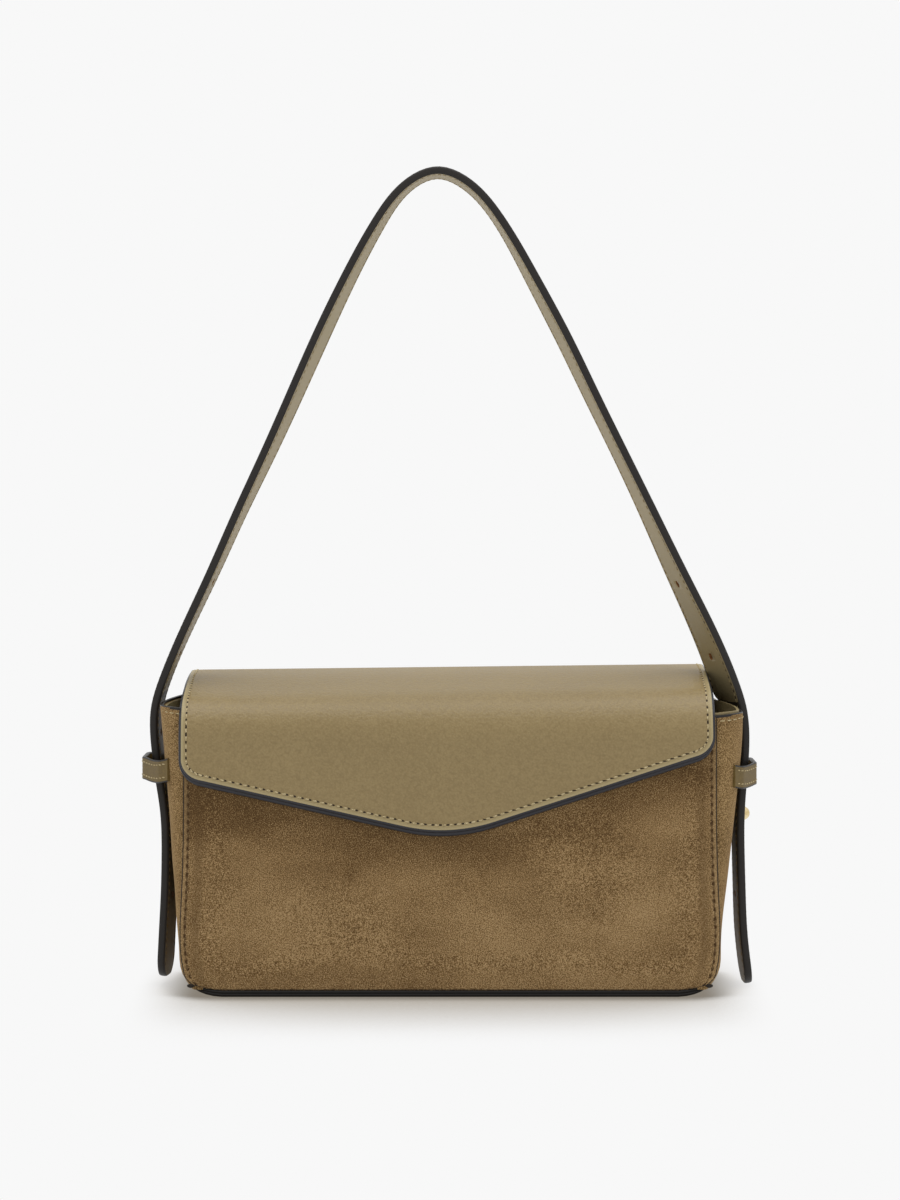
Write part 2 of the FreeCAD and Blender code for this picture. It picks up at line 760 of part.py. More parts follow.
plate_seat = snap_rod(snap_plate_diameter + 2 * snap_hole_gap, seam_y, -seam_y)
write(make_base(), "base_panel")
write(make_base_board(), "base_board")
write(make_front_panel(), "front_panel")
write(make_back_panel(), "back_panel")
write(board(-1, front_height).cut(plate_seat), "front_board")
write(board(1, back_height), "back_board")
write(mouth_facing(-1, front_height), "front_facing")
write(mouth_facing(1, back_height), "back_facing")
write(make_lining(), "lining")
write(make_pocket(), "slip_pocket")
write(make_snap_socket(), "snap_socket")
write(make_snap_socket_plate(), "snap_socket_plate")
write(make_snap_stud(), "snap_stud")
write(make_snap_stud_plate(), "snap_stud_plate")
write(make_flap_anchor(), "flap_anchor")

flap_leather, flap_stiffener, flap_lining = make_flap()
write(flap_leather, "flap_leather")
write(flap_stiffener, "flap_stiffener")
write(flap_lining, "flap_lining")

write(make_ball_stud(1), "stud_right")
write(make_cap_stud(-1), "stud_left")

strap = strap_band()
write(strap_piece(strap, 0, strap_flex_height, strap_peak_height), "strap_arch")
for side, name in ((-1, "left"), (1, "right")):
    tail_top = strap_split_height - strap_split_gap
    write(gusset(side), "gusset_" + name)
    write(gusset_facing(side), "gusset_facing_" + name)
    write(make_keeper(side), "keeper_" + name)
    write(make_stud_screw(side), "stud_screw_" + name)
    write(strap_piece(strap, side, 0, tail_top), "strap_end_" + name)
    write(strap_piece(strap, side, strap_split_height, strap_flex_height), "strap_leg_" + name)
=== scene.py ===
import math

import bpy
import numpy as np
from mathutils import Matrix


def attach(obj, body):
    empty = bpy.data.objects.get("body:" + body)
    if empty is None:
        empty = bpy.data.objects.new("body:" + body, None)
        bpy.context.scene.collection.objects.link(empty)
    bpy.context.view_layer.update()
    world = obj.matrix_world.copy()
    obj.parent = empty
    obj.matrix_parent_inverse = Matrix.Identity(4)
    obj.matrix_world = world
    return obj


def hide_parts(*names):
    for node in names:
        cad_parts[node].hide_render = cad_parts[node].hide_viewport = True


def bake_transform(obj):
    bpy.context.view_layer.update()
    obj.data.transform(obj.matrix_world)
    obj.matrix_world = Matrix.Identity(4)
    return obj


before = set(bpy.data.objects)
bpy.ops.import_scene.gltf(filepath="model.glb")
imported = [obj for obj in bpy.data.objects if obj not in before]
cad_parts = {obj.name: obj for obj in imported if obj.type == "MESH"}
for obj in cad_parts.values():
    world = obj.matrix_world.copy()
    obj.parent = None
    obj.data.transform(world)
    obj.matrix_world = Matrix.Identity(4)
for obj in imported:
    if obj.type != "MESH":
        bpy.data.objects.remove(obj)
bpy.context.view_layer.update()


# Camera: level, a metre and a half in front of the flap, a little over its top, as for a
# product picture. The lens is shifted so that the bag stands in the lower half of the frame.


def set_out(name, data):
    """An object that holds the data, linked into the scene."""
    made = bpy.data.objects.new(name, data)
    bpy.context.scene.collection.objects.link(made)
    return made


camera_data = bpy.data.cameras.new("camera")
camera_data.lens, camera_data.sensor_width, camera_data.shift_y = 96.36, 36.0, -0.1375
camera = set_out("camera", camera_data)
camera.location = (0.0, -1.541, 0.2635)
camera.rotation_euler = (math.radians(90.0), 0.0, 0.0)
bpy.context.scene.camera = camera


# Base slab: stacked leather, its edge sanded, dyed and painted nearly black. The bag stands
# on it. A fine groove shows where its two layers meet, and its four corners curl up a little.

base_half_length, base_half_depth, base_middle_y = 121.0, 37.0, 1.0
base_corner, body_foot = 10.0, 3.3
curl_height, curl_start, curl_end, curl_fade = 2.7, 107.0, 122.0, 14.0
base_profile = np.array([
    (-6.0, 0.0), (-1.2, 0.0), (-0.6, 0.12), (-0.22, 0.4), (-0.04, 0.85), (-0.05, 1.25),
    (-0.3, 1.6), (-0.32, 1.75), (-0.05, 2.05), (0.0, 2.5), (-0.2, 2.95), (-0.6, 3.22),
    (-1.2, body_foot), (-6.0, body_foot),
])


def unit(steps):
    """Directions of length one: each step over its own length."""
    return steps / np.linalg.norm(steps, axis=-1, keepdims=True)


def points_at(*measures):
    """Points from their measures, each an array or one number for all of them."""
    return np.stack(np.broadcast_arrays(*measures), axis=-1).astype(float)


def share_of(value, start, end):
    """How far a value lies from start to end: 0 before, 1 after, straight between."""
    return np.clip((value - start) / (end - start), 0, 1)


def rounded_line(corners, radii, step, closed=False):
    """Points along a line whose corners are turned by arcs: each arc starts and ends where a
    circle of its radius touches the two runs, at the radius over the tangent of half the angle."""
    corners = np.asarray(corners, float)
    count = len(corners)
    pieces = []
    for i in range(count):
        if not closed and i in (0, count - 1):
            pieces.append(corners[i:i + 1])
            continue
        before, after = unit(corners[i - 1] - corners[i]), unit(corners[(i + 1) % count] - corners[i])
        half = math.acos(np.clip(before @ after, -1, 1)) / 2
        centre = corners[i] + unit(before + after) * radii[i] / math.sin(half)
        reach = radii[i] / math.tan(half)
        start, end = [corners[i] + way * reach - centre for way in (before, after)]
        angle = math.pi - 2 * half
        turns = np.linspace(0, 1, max(3, int(radii[i] * angle / step) + 2))[:, None] * angle
        pieces.append(centre + (np.sin(angle - turns) * start + np.sin(turns) * end) / math.sin(angle))
    points = [pieces[0]]
    for piece in pieces[1:] + ([pieces[0][:1]] if closed else []):
        last, run = points[-1][-1], piece[0] - points[-1][-1]
        inner = np.linspace(0, 1, max(2, int(np.linalg.norm(run) / step) + 2))[1:-1, None]
        points += [last + run * inner, piece]
    line = np.concatenate(points)
    return line[:-1] if closed else line


def along_line(line, closed=False):
    """The length run at each point, and the direction: the step from the point before to the next."""
    run = np.concatenate([[0], np.cumsum(np.linalg.norm(np.diff(line, axis=0), axis=1))])
    steps = np.roll(line, -1, axis=0) - np.roll(line, 1, axis=0) if closed else np.gradient(line, axis=0)
    return run, unit(steps)


def at_run(places, run, line):
    """A line's measures at given lengths along it, straight between its points."""
    return np.stack([np.interp(places, run, measure) for measure in line.T], axis=-1)


def grid_faces(rows, columns, wrap_rows=False, wrap_columns=False):
    """Quads that join each point of a grid to its next neighbours in its row and its column."""
    grid = np.arange(rows * columns).reshape(rows, columns)
    grid = np.pad(grid, ((0, int(wrap_rows)), (0, int(wrap_columns))), mode="wrap")
    corners = [grid[:-1, :-1], grid[:-1, 1:], grid[1:, 1:], grid[1:, :-1]]
    return np.stack([corner.ravel() for corner in corners], axis=1)


def build(name, points, faces, body, materials, seam=None, parts=None):
    """A closed mesh from points in millimetres. Its faces are turned outwards when the sum of
    the wedges between the origin and its triangles is negative. The seam map holds lengths."""
    xyz = np.asarray(points, float).reshape(-1, 3) / 1000
    volume = 0.0
    for group in faces:
        for k in range(1, group.shape[1] - 1):
            a, b, c = xyz[group[:, 0]], xyz[group[:, k]], xyz[group[:, k + 1]]
            volume += float(np.sum(a * np.cross(b, c)))
    if volume < 0:
        faces = [group[:, ::-1] for group in faces]
    mesh = bpy.data.meshes.new(name)
    mesh.from_pydata(xyz.tolist(), [], [face for group in faces for face in group.tolist()])
    mesh.update()
    mesh.polygons.foreach_set("use_smooth", np.ones(len(mesh.polygons), bool))
    mesh.set_sharp_from_angle(angle=math.radians(35.0))
    if seam is not None:
        corner_points = np.zeros(len(mesh.loops), int)
        mesh.loops.foreach_get("vertex_index", corner_points)
        flat = np.asarray(seam, float).reshape(-1, 2)[corner_points]
        mesh.uv_layers.new(name="seam").data.foreach_set("uv", flat.ravel())
    for material in materials:
        mesh.materials.append(material)
    if parts is not None:
        mesh.polygons.foreach_set("material_index", np.asarray(parts, int))
    piece = set_out(name, mesh)
    if body:
        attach(piece, body)
    return piece


def feed(made, inputs):
    """A shader node's inputs, each joined to another node or given a plain value."""
    for label, value in inputs.items():
        value = getattr(value, "socket", value)
        if isinstance(value, bpy.types.NodeSocket):
            made.id_data.links.new(value, made.inputs[label])
        else:
            made.inputs[label].default_value = value


def node(tree, kind, inputs=(), **settings):
    """A new shader node with its settings and its inputs."""
    made = tree.nodes.new(kind)
    for label, value in settings.items():
        setattr(made, label, value)
    feed(made, dict(inputs))
    return made


class Value:
    """A number or colour that changes over a surface. Sums written with it become Math nodes."""

    def __init__(self, socket):
        """The value that a node's output gives."""
        self.socket = socket

    def maths(self, operation, other=0.0):
        """One sum of this value and another."""
        inputs = {0: self, 1: other}
        return Value(node(self.socket.id_data, "ShaderNodeMath", inputs, operation=operation).outputs[0])

    def __add__(self, other):
        """This value plus another."""
        return self.maths("ADD", other)

    def __sub__(self, other):
        """This value less another."""
        return self.maths("SUBTRACT", other)

    def __mul__(self, other):
        """This value times another."""
        return self.maths("MULTIPLY", other)

    def __truediv__(self, other):
        """This value over another."""
        return self.maths("DIVIDE", other)

    def eased(self, low, high, to_low=0.0, to_high=1.0):
        """This value carried from one range to another, held at its ends, easing in and out."""
        inputs = {"Value": self, "From Min": low, "From Max": high, "To Min": to_low, "To Max": to_high}
        return Value(node(self.socket.id_data, "ShaderNodeMapRange", inputs,
                          interpolation_type="SMOOTHSTEP").outputs["Result"])

    def mix(self, first, second):
        """The colour that lies this far from the first to the second."""
        inputs = {0: self, 6: paint(first), 7: paint(second)}
        return Value(node(self.socket.id_data, "ShaderNodeMix", inputs, data_type="RGBA").outputs[2])


def values_of(tree, kind, inputs=(), **settings):
    """The values that a new node puts out, in their order."""
    return [Value(socket) for socket in node(tree, kind, inputs, **settings).outputs]


def noise(vector, scale, detail=2.0, roughness=0.5):
    """Soft random values, about one feature per unit of scale in a metre."""
    inputs = {"Vector": vector, "Scale": scale, "Detail": detail, "Roughness": roughness}
    return values_of(vector.id_data, "ShaderNodeTexNoise", inputs)[0]


def axes(place):
    """The three measures of a place."""
    return values_of(place.id_data, "ShaderNodeSeparateXYZ", {"Vector": place})


def paint(colour):
    """A colour as a picture shows it, 0 to 255, made linear. One that varies stays as it is."""
    if isinstance(colour, Value):
        return colour
    shares = np.array(colour) / 255
    linear = np.where(shares > 0.04045, ((shares + 0.055) / 1.055) ** 2.4, shares / 12.92)
    return (*linear.tolist(), 1.0)


def new_group(name, inputs, outputs=("Tone", "Height")):
    """A shader node group, its inputs named with their values, or None for a vector. Returns
    its tree, its input sockets and the node that its outputs feed."""
    tree = bpy.data.node_groups.new(name, "ShaderNodeTree")
    for label, value in inputs.items():
        kind = "NodeSocketVector" if value is None else "NodeSocketFloat"
        socket = tree.interface.new_socket(name=label, in_out="INPUT", socket_type=kind)
        if value is not None:
            socket.default_value = value
    for label in outputs:
        tree.interface.new_socket(name=label, in_out="OUTPUT", socket_type="NodeSocketFloat")
    return tree, tree.nodes.new("NodeGroupInput").outputs, tree.nodes.new("NodeGroupOutput")


def finish_of(name, **constants):
    """A new material with its shader's constants: its tree, its shader and its object coordinates."""
    material = bpy.data.materials.new(name)
    material.use_nodes = True
    tree = material.node_tree
    shader = tree.nodes["Principled BSDF"]
    feed(shader, {"Coat Roughness": 0.25})
    feed(shader, {label.replace("_", " "): value for label, value in constants.items()})
    return material, tree, shader, node(tree, "ShaderNodeTexCoord").outputs["Object"]


def relief(height, depth, strength=1.0):
    """A normal from a height that runs from 0 to 1, as deep as given in metres."""
    inputs = {"Height": height, "Distance": depth, "Strength": strength}
    return values_of(height.socket.id_data, "ShaderNodeBump", inputs)[0]


brushed_paint, brushed_in, brushed_out = new_group("brushed_paint", {"Vector": None, "Streaks": 900.0})
streaks = noise(brushed_in["Vector"], brushed_in["Streaks"], 3.0, 0.6)
drops = noise(brushed_in["Vector"], 140.0)
feed(brushed_out, {"Tone": streaks * 0.4 + 0.3, "Height": streaks + drops})


def edge_paint(name, dark, light, roughness, gloss=0.25):
    """Edge paint: rolled on by hand, so its tone and gloss run in fine streaks and soft drops."""
    material, tree, shader, place = finish_of(name, Coat_Weight=gloss * 0.3, Specular_IOR_Level=gloss)
    tone, height = values_of(tree, "ShaderNodeGroup", {"Vector": place}, node_tree=brushed_paint)
    feed(shader, {
        "Base Color": tone.mix(dark, light),
        "Roughness": tone.eased(0.3, 0.7, roughness - 0.06, roughness + 0.1),
        "Normal": relief(height, 0.00006)})
    return material


base_paint = edge_paint("base_paint", (9, 7, 5), (20, 16, 11), 0.5)


def corner_rise(x):
    """How far the foot's corners are pulled up off the floor: nothing until near the ends."""
    return curl_height * share_of(np.abs(x), curl_start, curl_end) ** 1.6


base_corners = [(x * base_half_length, y * base_half_depth) for x, y in ((-1, -1), (1, -1), (1, 1), (-1, 1))]
base_line = rounded_line(base_corners, [base_corner] * 4, 4.0, True)
base_way = along_line(base_line, True)[1]
base_out = points_at(base_way[:, 1], -base_way[:, 0])
base_flat = base_line[:, None] + base_out[:, None] * base_profile[:, :1]
base_points = points_at(base_flat[..., 0], base_flat[..., 1] + base_middle_y, base_profile[:, 1])
base_points[..., 2] += corner_rise(base_points[..., 0]) * (1.2 - base_points[..., 2] / 16)
base_count, base_ring = base_points.shape[:2]
base_caps = np.arange(base_count)[None] * base_ring
base_slab = build(
    "base_slab", base_points,
    [grid_faces(base_count, base_ring, wrap_rows=True), base_caps[:, ::-1], base_caps + base_ring - 1],
    "bag", [base_paint])
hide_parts("base_panel")


# Front and back panels: brown suede on board, a little crowned, their raw edges painted dark.
# Each is stitched to the gussets 2.3 mm inside its edge through large punched holes.

panel_heights = np.array([3.3, 4.6, 5.7, 10.5, 19.0, 46.0, 80.0, 105.0, 134.0])
panel_halves = np.array([120.7, 121.9, 123.0, 124.9, 126.1, 126.0, 125.0, 124.9, 124.9])
panel_thickness = 1.6
front_y, back_y = -36.0, 38.0
front_top, back_top = 131.5, 134.0
panels = (("front", front_y, -1, front_top), ("back", back_y, 1, back_top))
seam_inset, hole_pitch, rim_foot = 2.3, 4.1, 3.6
flap_left_rise, flap_right_rise, shade_foot = 0.2254, 0.3249, 0.0725
edge_steps = np.array([0.0, 0.15, 0.4, 0.8, 1.3, 1.8, 2.3, 2.8, 3.5, 5.0, 7.0, 10.0, 14.0, 19.0])


def smooth_through(at, knots, values):
    """The smooth line through values at knots: cubic runs whose slope and bend carry on from one
    to the next, and whose bend is nothing at both ends."""
    knots, values = np.asarray(knots, float), np.asarray(values, float)
    gap = np.diff(knots)
    count = len(knots)
    system = np.zeros((count, count))
    system[0, 0] = system[-1, -1] = 1
    inner = np.arange(1, count - 1)
    system[inner, inner - 1] = gap[:-1]
    system[inner, inner] = 2 * (gap[:-1] + gap[1:])
    system[inner, inner + 1] = gap[1:]
    slope = np.diff(values) / gap
    bends = np.linalg.solve(system, np.concatenate([[0], 6 * np.diff(slope), [0]]))
    i = np.clip(np.searchsorted(knots, at) - 1, 0, count - 2)
    left = at - knots[i]
    lines = slope[i] - gap[i] * (bends[i + 1] + 2 * bends[i]) / 6
    return (values[i] + lines * left + bends[i] * left ** 2 / 2
            + (bends[i + 1] - bends[i]) * left ** 3 / (6 * gap[i]))


def panel_side(height):
    """Half the panel's width: a little over 125 mm low down, and drawn in by an arc at the foot."""
    return smooth_through(height, panel_heights, panel_halves)


def groove(gap, depth, width, power=2.0):
    """A rounded groove: as deep as given where the gap is nothing, fading to nothing over a width."""
    return depth * np.exp(-(np.abs(gap) / width) ** power)


def sheet(name, outer, inner, body, materials, seam=None):
    """A closed sheet from two grids of points: the outer one, the inner one turned over, and a
    wall along the shared rim. The inner face has the last material."""
    rows, columns = outer.shape[:2]
    grid = np.arange(rows * columns).reshape(rows, columns)
    face, count = grid_faces(rows, columns), rows * columns
    loop = np.concatenate([grid[0], grid[1:, -1], grid[-1, -2::-1], grid[-2:0:-1, 0]])
    after = np.roll(loop, -1)
    rim = np.stack([after, loop, loop + count, after + count], axis=1)
    parts = np.repeat([0, len(materials) - 1, 0], [len(face), len(face), len(rim)])
    if seam is not None:
        seam = np.stack([seam, seam])
    return build(name, np.stack([outer, inner]), [np.concatenate([face, face[:, ::-1] + count, rim])],
                 body, materials, seam, parts)


def tube_faces(rows, ring):
    """The faces of a tube of rings, and of its two flat ends."""
    ends = np.stack([np.arange(ring)[::-1], (rows - 1) * ring + np.arange(ring)])
    return [grid_faces(rows, ring, wrap_columns=True), ends]


def repeated(faces, count, points):
    """The faces of one shape, repeated for so many shapes of so many points each."""
    first = (np.arange(count) * points)[:, None, None]
    return [(group[None] + first).reshape(-1, group.shape[1]) for group in faces]


def sweep(path, across, up, profile, closed=False):
    """A tube: at each path point, the profile's two measures laid along two directions. An open
    tube is closed by a flat face at each end. Returns its points and faces."""
    across, up = [np.broadcast_to(way, path.shape)[:, None] for way in (across, up)]
    points = path[:, None] + across * profile[..., :1] + up * profile[..., 1:]
    rows, ring = points.shape[:2]
    return points, [grid_faces(rows, ring, True, True)] if closed else tube_faces(rows, ring)


def stitches(name, centres, along, out, length, width, rise, body, material):
    """One sewn row. Each stitch is a grain of thread: its width grows and shrinks as a sine along
    its length, and its middle stands out by its rise, while both ends dive into their holes."""
    rings, ring = 5, 6
    share = np.linspace(0, 1, rings)[:, None]
    angle = np.arange(ring) * 2 * math.pi / ring
    thick = np.sin(math.pi * (0.14 + 0.72 * share)) * width / 2
    lift = rise * (1 - (2 * share - 1) ** 2) - width * 0.2 + thick * np.sin(angle) * 0.8
    along, out = [np.broadcast_to(way, centres.shape)[:, None, None] for way in (along, out)]
    grain = (centres[:, None, None] + along * ((share - 0.5) * length)[..., None]
             + np.cross(along, out) * (thick * np.cos(angle))[..., None] + out * lift[..., None])
    faces = repeated(tube_faces(rings, ring), len(centres), rings * ring)
    return build(name, grain, faces, body, [material])


def stretched(vector, scales):
    """A place with its three measures scaled, so that a pattern on it is drawn out."""
    inputs = {0: vector, 1: scales}
    return node(vector.id_data, "ShaderNodeVectorMath", inputs, operation="MULTIPLY").outputs["Vector"]


suede_nap, nap_in, nap_out = new_group("suede_nap", {"Vector": None, "Blotch": 0.5})
nap_clouds = noise(stretched(nap_in["Vector"], (0.55, 1.0, 1.0)), 36.0, 2.0, 0.55)
nap_smudge = noise(stretched(nap_in["Vector"], (1.5, 1.0, 0.7)), 60.0, 3.0, 0.6)
nap_tufts = noise(nap_in["Vector"], 2300.0, 1.0)
nap_fibres = noise(nap_in["Vector"], 4200.0, 0.0)
nap_patches = (nap_clouds - 0.5 - nap_smudge.eased(0.56, 0.74, 0.0, 0.18)) * nap_in["Blotch"]
feed(nap_out, {
    "Tone": nap_patches + (nap_tufts - 0.5) * 2.7 + (nap_fibres - 0.5) * 1.6 + 0.5,
    "Height": nap_tufts + nap_fibres * 0.6})

punched_holes, punch_in, punch_out = new_group(
    "punched_holes",
    {"Along": 0.0, "Across": 0.0, "Pitch": 4.0, "Half length": 0.8, "Half width": 0.4}, ["Mask"])
along, across, pitch, half_length, half_width = [Value(socket) for socket in punch_in][:5]
run_share = along.maths("PINGPONG", pitch * 0.5) / half_length
side_share = across / half_width
feed(punch_out, {"Mask": (run_share * run_share + side_share * side_share).eased(1.5, 0.5)})


def seam_lengths(tree):
    """The seam map's two lengths in millimetres: along the seam and across it."""
    return axes(node(tree, "ShaderNodeUVMap", uv_map="seam").outputs["UV"])[:2]


def holes_along(along, across, pitch, half_length, half_width):
    """A row of holes laid on a seam map."""
    inputs = {"Along": along, "Across": across, "Pitch": pitch,
              "Half length": half_length, "Half width": half_width}
    return values_of(along.socket.id_data, "ShaderNodeGroup", inputs, node_tree=punched_holes)[0]


def suede(name, dark, mid, light, blotch, seam=True):
    """Suede: clouds, tufts and single fibres of nap between three tones. It has no gloss, only the
    soft light that fibres catch. Near a seam it is pressed lighter, with dark punched holes. A sewn
    panel has the flap's shadow painted in, darker under the flap's two slanting edges, and is also
    darker at its upper left and along its foot."""
    material, tree, shader, place = finish_of(
        name, Roughness=0.95, Specular_IOR_Level=0.15, Sheen_Weight=0.35, Sheen_Roughness=0.6,
        Sheen_Tint=paint((190, 160, 120)))
    inputs = {"Vector": place, "Blotch": blotch}
    tone, height = values_of(tree, "ShaderNodeGroup", inputs, node_tree=suede_nap)
    if seam:
        x, _, z = axes(place)
        flap_foot = (x * -flap_left_rise + shade_foot).maths("MAXIMUM", x * flap_right_rise + shade_foot)
        # Painted shade: the flap's shadow on the panel, darkest just below its slanting foot.
        painted_flap_shade = (flap_foot - z - tone * 0.014).eased(0.034, -0.004, 0.0, 0.26)
        left_part = x.eased(-0.02, -0.1, 0.0, 0.14) * z.eased(0.045, 0.085)
        tone = tone - painted_flap_shade - left_part - z.eased(0.034, 0.008, 0.0, 0.07)
    colour = tone.eased(0.5, 0.95).mix(tone.eased(0.05, 0.5).mix(dark, mid), light)
    if seam:
        along, across = seam_lengths(tree)
        colour = across.eased(0.6, -0.4, 0.0, 0.25).mix(colour, light)
        brushed = (across - 5.0).maths("ABSOLUTE").eased(3.5, 0.5, 0.0, 0.28)
        colour = brushed.mix(colour, dark)
        holes = holes_along(along, across + (height - 0.8) * 1.6, hole_pitch, 1.35, 0.62)
        colour = holes.mix(colour, (70, 49, 28))
        height = height - holes * 2.0
    feed(shader, {"Base Color": colour, "Normal": relief(height, 0.00012, 0.8)})
    return material


panel_suede = suede("panel_suede", (82, 60, 34), (139, 111, 73), (180, 152, 110), 0.85)
seam_thread = suede("seam_thread", (66, 50, 32), (104, 82, 54), (138, 114, 80), 0.3, False)
panel_edge_paint = edge_paint("panel_edge_paint", (22, 17, 12), (42, 34, 26), 0.6)


def curled(x, z):
    """A height near the foot, with the corners' rise added and fading out above it."""
    return z + corner_rise(x) * (1 - share_of(z, body_foot, body_foot + curl_fade))


def suede_panel(name, face_y, facing, top):
    """A panel's sheet: flat at its rim, eased over its edge, pressed in along the seam, crowned
    by under a millimetre between, with slow waves of the board under the suede."""
    heights = np.concatenate([
        body_foot + edge_steps[:8], np.linspace(7, top - 3, 44), top - edge_steps[6::-1]])
    half = panel_side(heights)[:, None]
    left = -half + edge_steps
    middle = np.linspace(-1, 1, 46)[1:-1] * (half - edge_steps[-1])
    x = np.concatenate([left, middle, -left[:, ::-1]], axis=1)
    z = np.broadcast_to(heights[:, None], x.shape)
    from_side = half - np.abs(x)
    from_end = np.minimum(z - body_foot, top - z)
    from_rim = np.minimum(from_side, from_end)
    crown = 0.45 * share_of(from_side, 2.5, 24.5) ** 0.6 * share_of(from_end, 0, 20)
    press = groove(from_side - seam_inset, 0.28, 0.6) + groove(from_rim, 0.5, 0.35, 1.5)
    waves = 0.12 * np.sin(x / 21 + z / 37) * np.sin(z / 26 - x / 60) * share_of(from_rim, 0, 15)
    raised = curled(x, z)
    panel = sheet(
        name + "_suede", points_at(x, face_y + facing * (crown - press + waves), raised),
        points_at(x, face_y - facing * panel_thickness, raised), "bag", [panel_suede],
        points_at(z, from_side - seam_inset))
    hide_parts(name + "_panel")


for panel in panels:
    suede_panel(*panel)


def panel_rim(name, face_y, facing, top):
    """The painted rim: a half-round bead round the panel's edge, pushed out where it laps the face."""
    heights = np.linspace(top, rim_foot, 60)
    right = points_at(panel_side(heights), heights)
    foot = points_at(np.linspace(1, -1, 60)[1:-1] * panel_side(rim_foot), rim_foot)
    head = points_at(np.linspace(-1, 1, 60)[1:-1] * panel_side(top), top)
    line = np.concatenate([right, foot, right[::-1] * (-1, 1), head])
    way = along_line(line, True)[1]
    path = points_at(line[:, 0], face_y, curled(line[:, 0], line[:, 1]))
    outward = points_at(-way[:, 1], 0, way[:, 0])
    inside = np.sum(outward * (path - (0, face_y, top / 2)), axis=1) < 0
    outward = np.where(inside[:, None], -outward, outward)
    bead = np.array([(-0.3, 0.2), (-0.05, 0.12), (0.1, 0.25), (0.18, 0.6), (0.18, 1.0),
                     (0.1, 1.35), (-0.05, 1.5), (-0.3, 1.5)])
    points, faces = sweep(path, outward, (0.0, -facing, 0.0), bead, closed=True)
    build(name + "_rim_paint", points, faces, "bag", [panel_edge_paint])


for panel in panels:
    panel_rim(*panel)


def panel_seam(name, face_y, facing, top):
    """The thread between the holes of both side seams, lying low in its pressed channel."""
    heights = np.arange(hole_pitch * 1.5, top - 2, hole_pitch)
    x = panel_side(heights) - seam_inset
    centres = [points_at(side * x, face_y - facing * 0.24, heights) for side in (-1, 1)]
    stitches(name + "_seam_thread", np.concatenate(centres), (0.0, 0.0, 1.0), (0.0, facing, 0.0),
             3.0, 0.75, 0.22, "bag", seam_thread)


for panel in panels:
    panel_seam(*panel)

corner_lumps = np.array([(x, y, 5.4) for x in (-121.5, 121.5) for y in (front_y - 0.1, back_y + 0.1)])
stitches("foot_corner_lumps", corner_lumps, (1.0, 0.0, 0.0), np.sign(corner_lumps) * (0, 1, 0),
         3.4, 2.0, 0.4, "bag", panel_edge_paint)


# Gussets: softer suede, turned in behind both panels, bowed out to the painted rim and cut
# lower at the front. A short row of thread holds the facing under the rim.

gusset_heights = np.array([3.3, 9.0, 20.0, 35.0, 50.0, 63.0, 80.0, 106.0, 120.0, 133.5])
gusset_reaches = {
    -1: np.array([122.3, 126.2, 128.0, 129.1, 130.0, 131.2, 132.4, 134.6, 135.7, 136.8]),
    1: np.array([122.3, 126.2, 127.9, 128.8, 130.8, 132.4, 134.2, 136.8, 138.0, 138.4]),
}
gusset_seams = np.array([119.0, 122.4, 123.6, 124.1, 124.2, 124.2, 124.2, 124.2, 124.2, 124.2])
rim_top, rim_rise, rim_drop, rim_run, rim_tilt = 133.9, 2.5, 1.2, 9.0, -1.7
gusset_thickness, gusset_tuck, gusset_bend = 1.6, 7.0, 12.5
tuck_share, bend_share = 0.1, 0.3
gusset_share = np.interp(np.arange(51), [0, 3, 15, 35, 47, 50],
                         [0, tuck_share, bend_share, 1 - bend_share, 1 - tuck_share, 1])


def gently(share):
    """A share from 0 to 1 that eases in and out: three times its square, less twice its cube."""
    return share ** 2 * (3 - 2 * share)


def rim_height(y, side):
    """The rim's height: it rises a little to the back, eases down to the front panel's top over
    its last stretch, and stands higher on the left than on the right."""
    fall = share_of(y, front_y + rim_run, front_y) ** 1.3
    return rim_top + rim_tilt * side + rim_rise * gently(share_of(y, -26, 10)) - rim_drop * fall


def gusset_wall(side, foot, inset, rows, top=None, over=0.0, soft=1.0):
    """Points of a gusset's skin: at each height a line from behind the front panel, round a
    quarter arc to the side, along it and round to the back. The side bows with slow folds, and
    is drawn in towards its top at the back."""
    front, back = front_y + panel_thickness + inset, back_y - panel_thickness - inset
    share = gusset_share[None]
    level = 1 - (1 - np.linspace(0, 1, rows)[:, None]) ** 1.08
    guess = np.interp(share, [0.1, 0.3, 0.7, 0.9], [front, front + 11, back - 11, back])
    ceiling = rim_height(guess, side) + over if top is None else top
    z = foot + level * (ceiling - foot) + 0 * share
    reach = smooth_through(z, gusset_heights, gusset_reaches[side]) - inset
    seam_x = smooth_through(z, gusset_heights, gusset_seams)
    from_end = np.minimum(share, 1 - share)
    half = share_of(from_end, tuck_share, bend_share) * math.pi / 2
    x = seam_x - gusset_tuck * (1 - share_of(from_end, 0, tuck_share)) + (reach - seam_x) * np.sin(half)
    depth = gusset_bend * (1 - np.cos(half))
    straight = share_of(share, bend_share, 1 - bend_share)
    span = back - front - 2 * gusset_bend
    y = np.where(share < 0.5, front + depth + straight * span, back - depth - (1 - straight) * span)
    fold = 0.5 * np.sin(z / 17 + 1.2 * side) * np.sin(math.pi * (y - front) / (back - front) * 2)
    hollow = groove(z - 72, 0.9, 30) * groove(y - 1, 1, 16)
    drawn = 9.0 * share_of(z, 78, 130) ** 1.2 * gently(share_of(y, -16, 14))
    x = x + np.sin(half) ** 2 * soft * (0.4 * fold - hollow) - drawn * (half > 0.05)
    return points_at(side * x, y, z)


gusset_suede = suede("gusset_suede", (88, 65, 37), (138, 111, 72), (182, 153, 108), 0.7, False)
cream_thread = suede("cream_thread", (150, 134, 96), (188, 172, 132), (214, 200, 164), 0.2, False)
gusset_rim_paint = edge_paint("gusset_rim_paint", (18, 15, 13), (38, 34, 30), 0.35, 0.3)


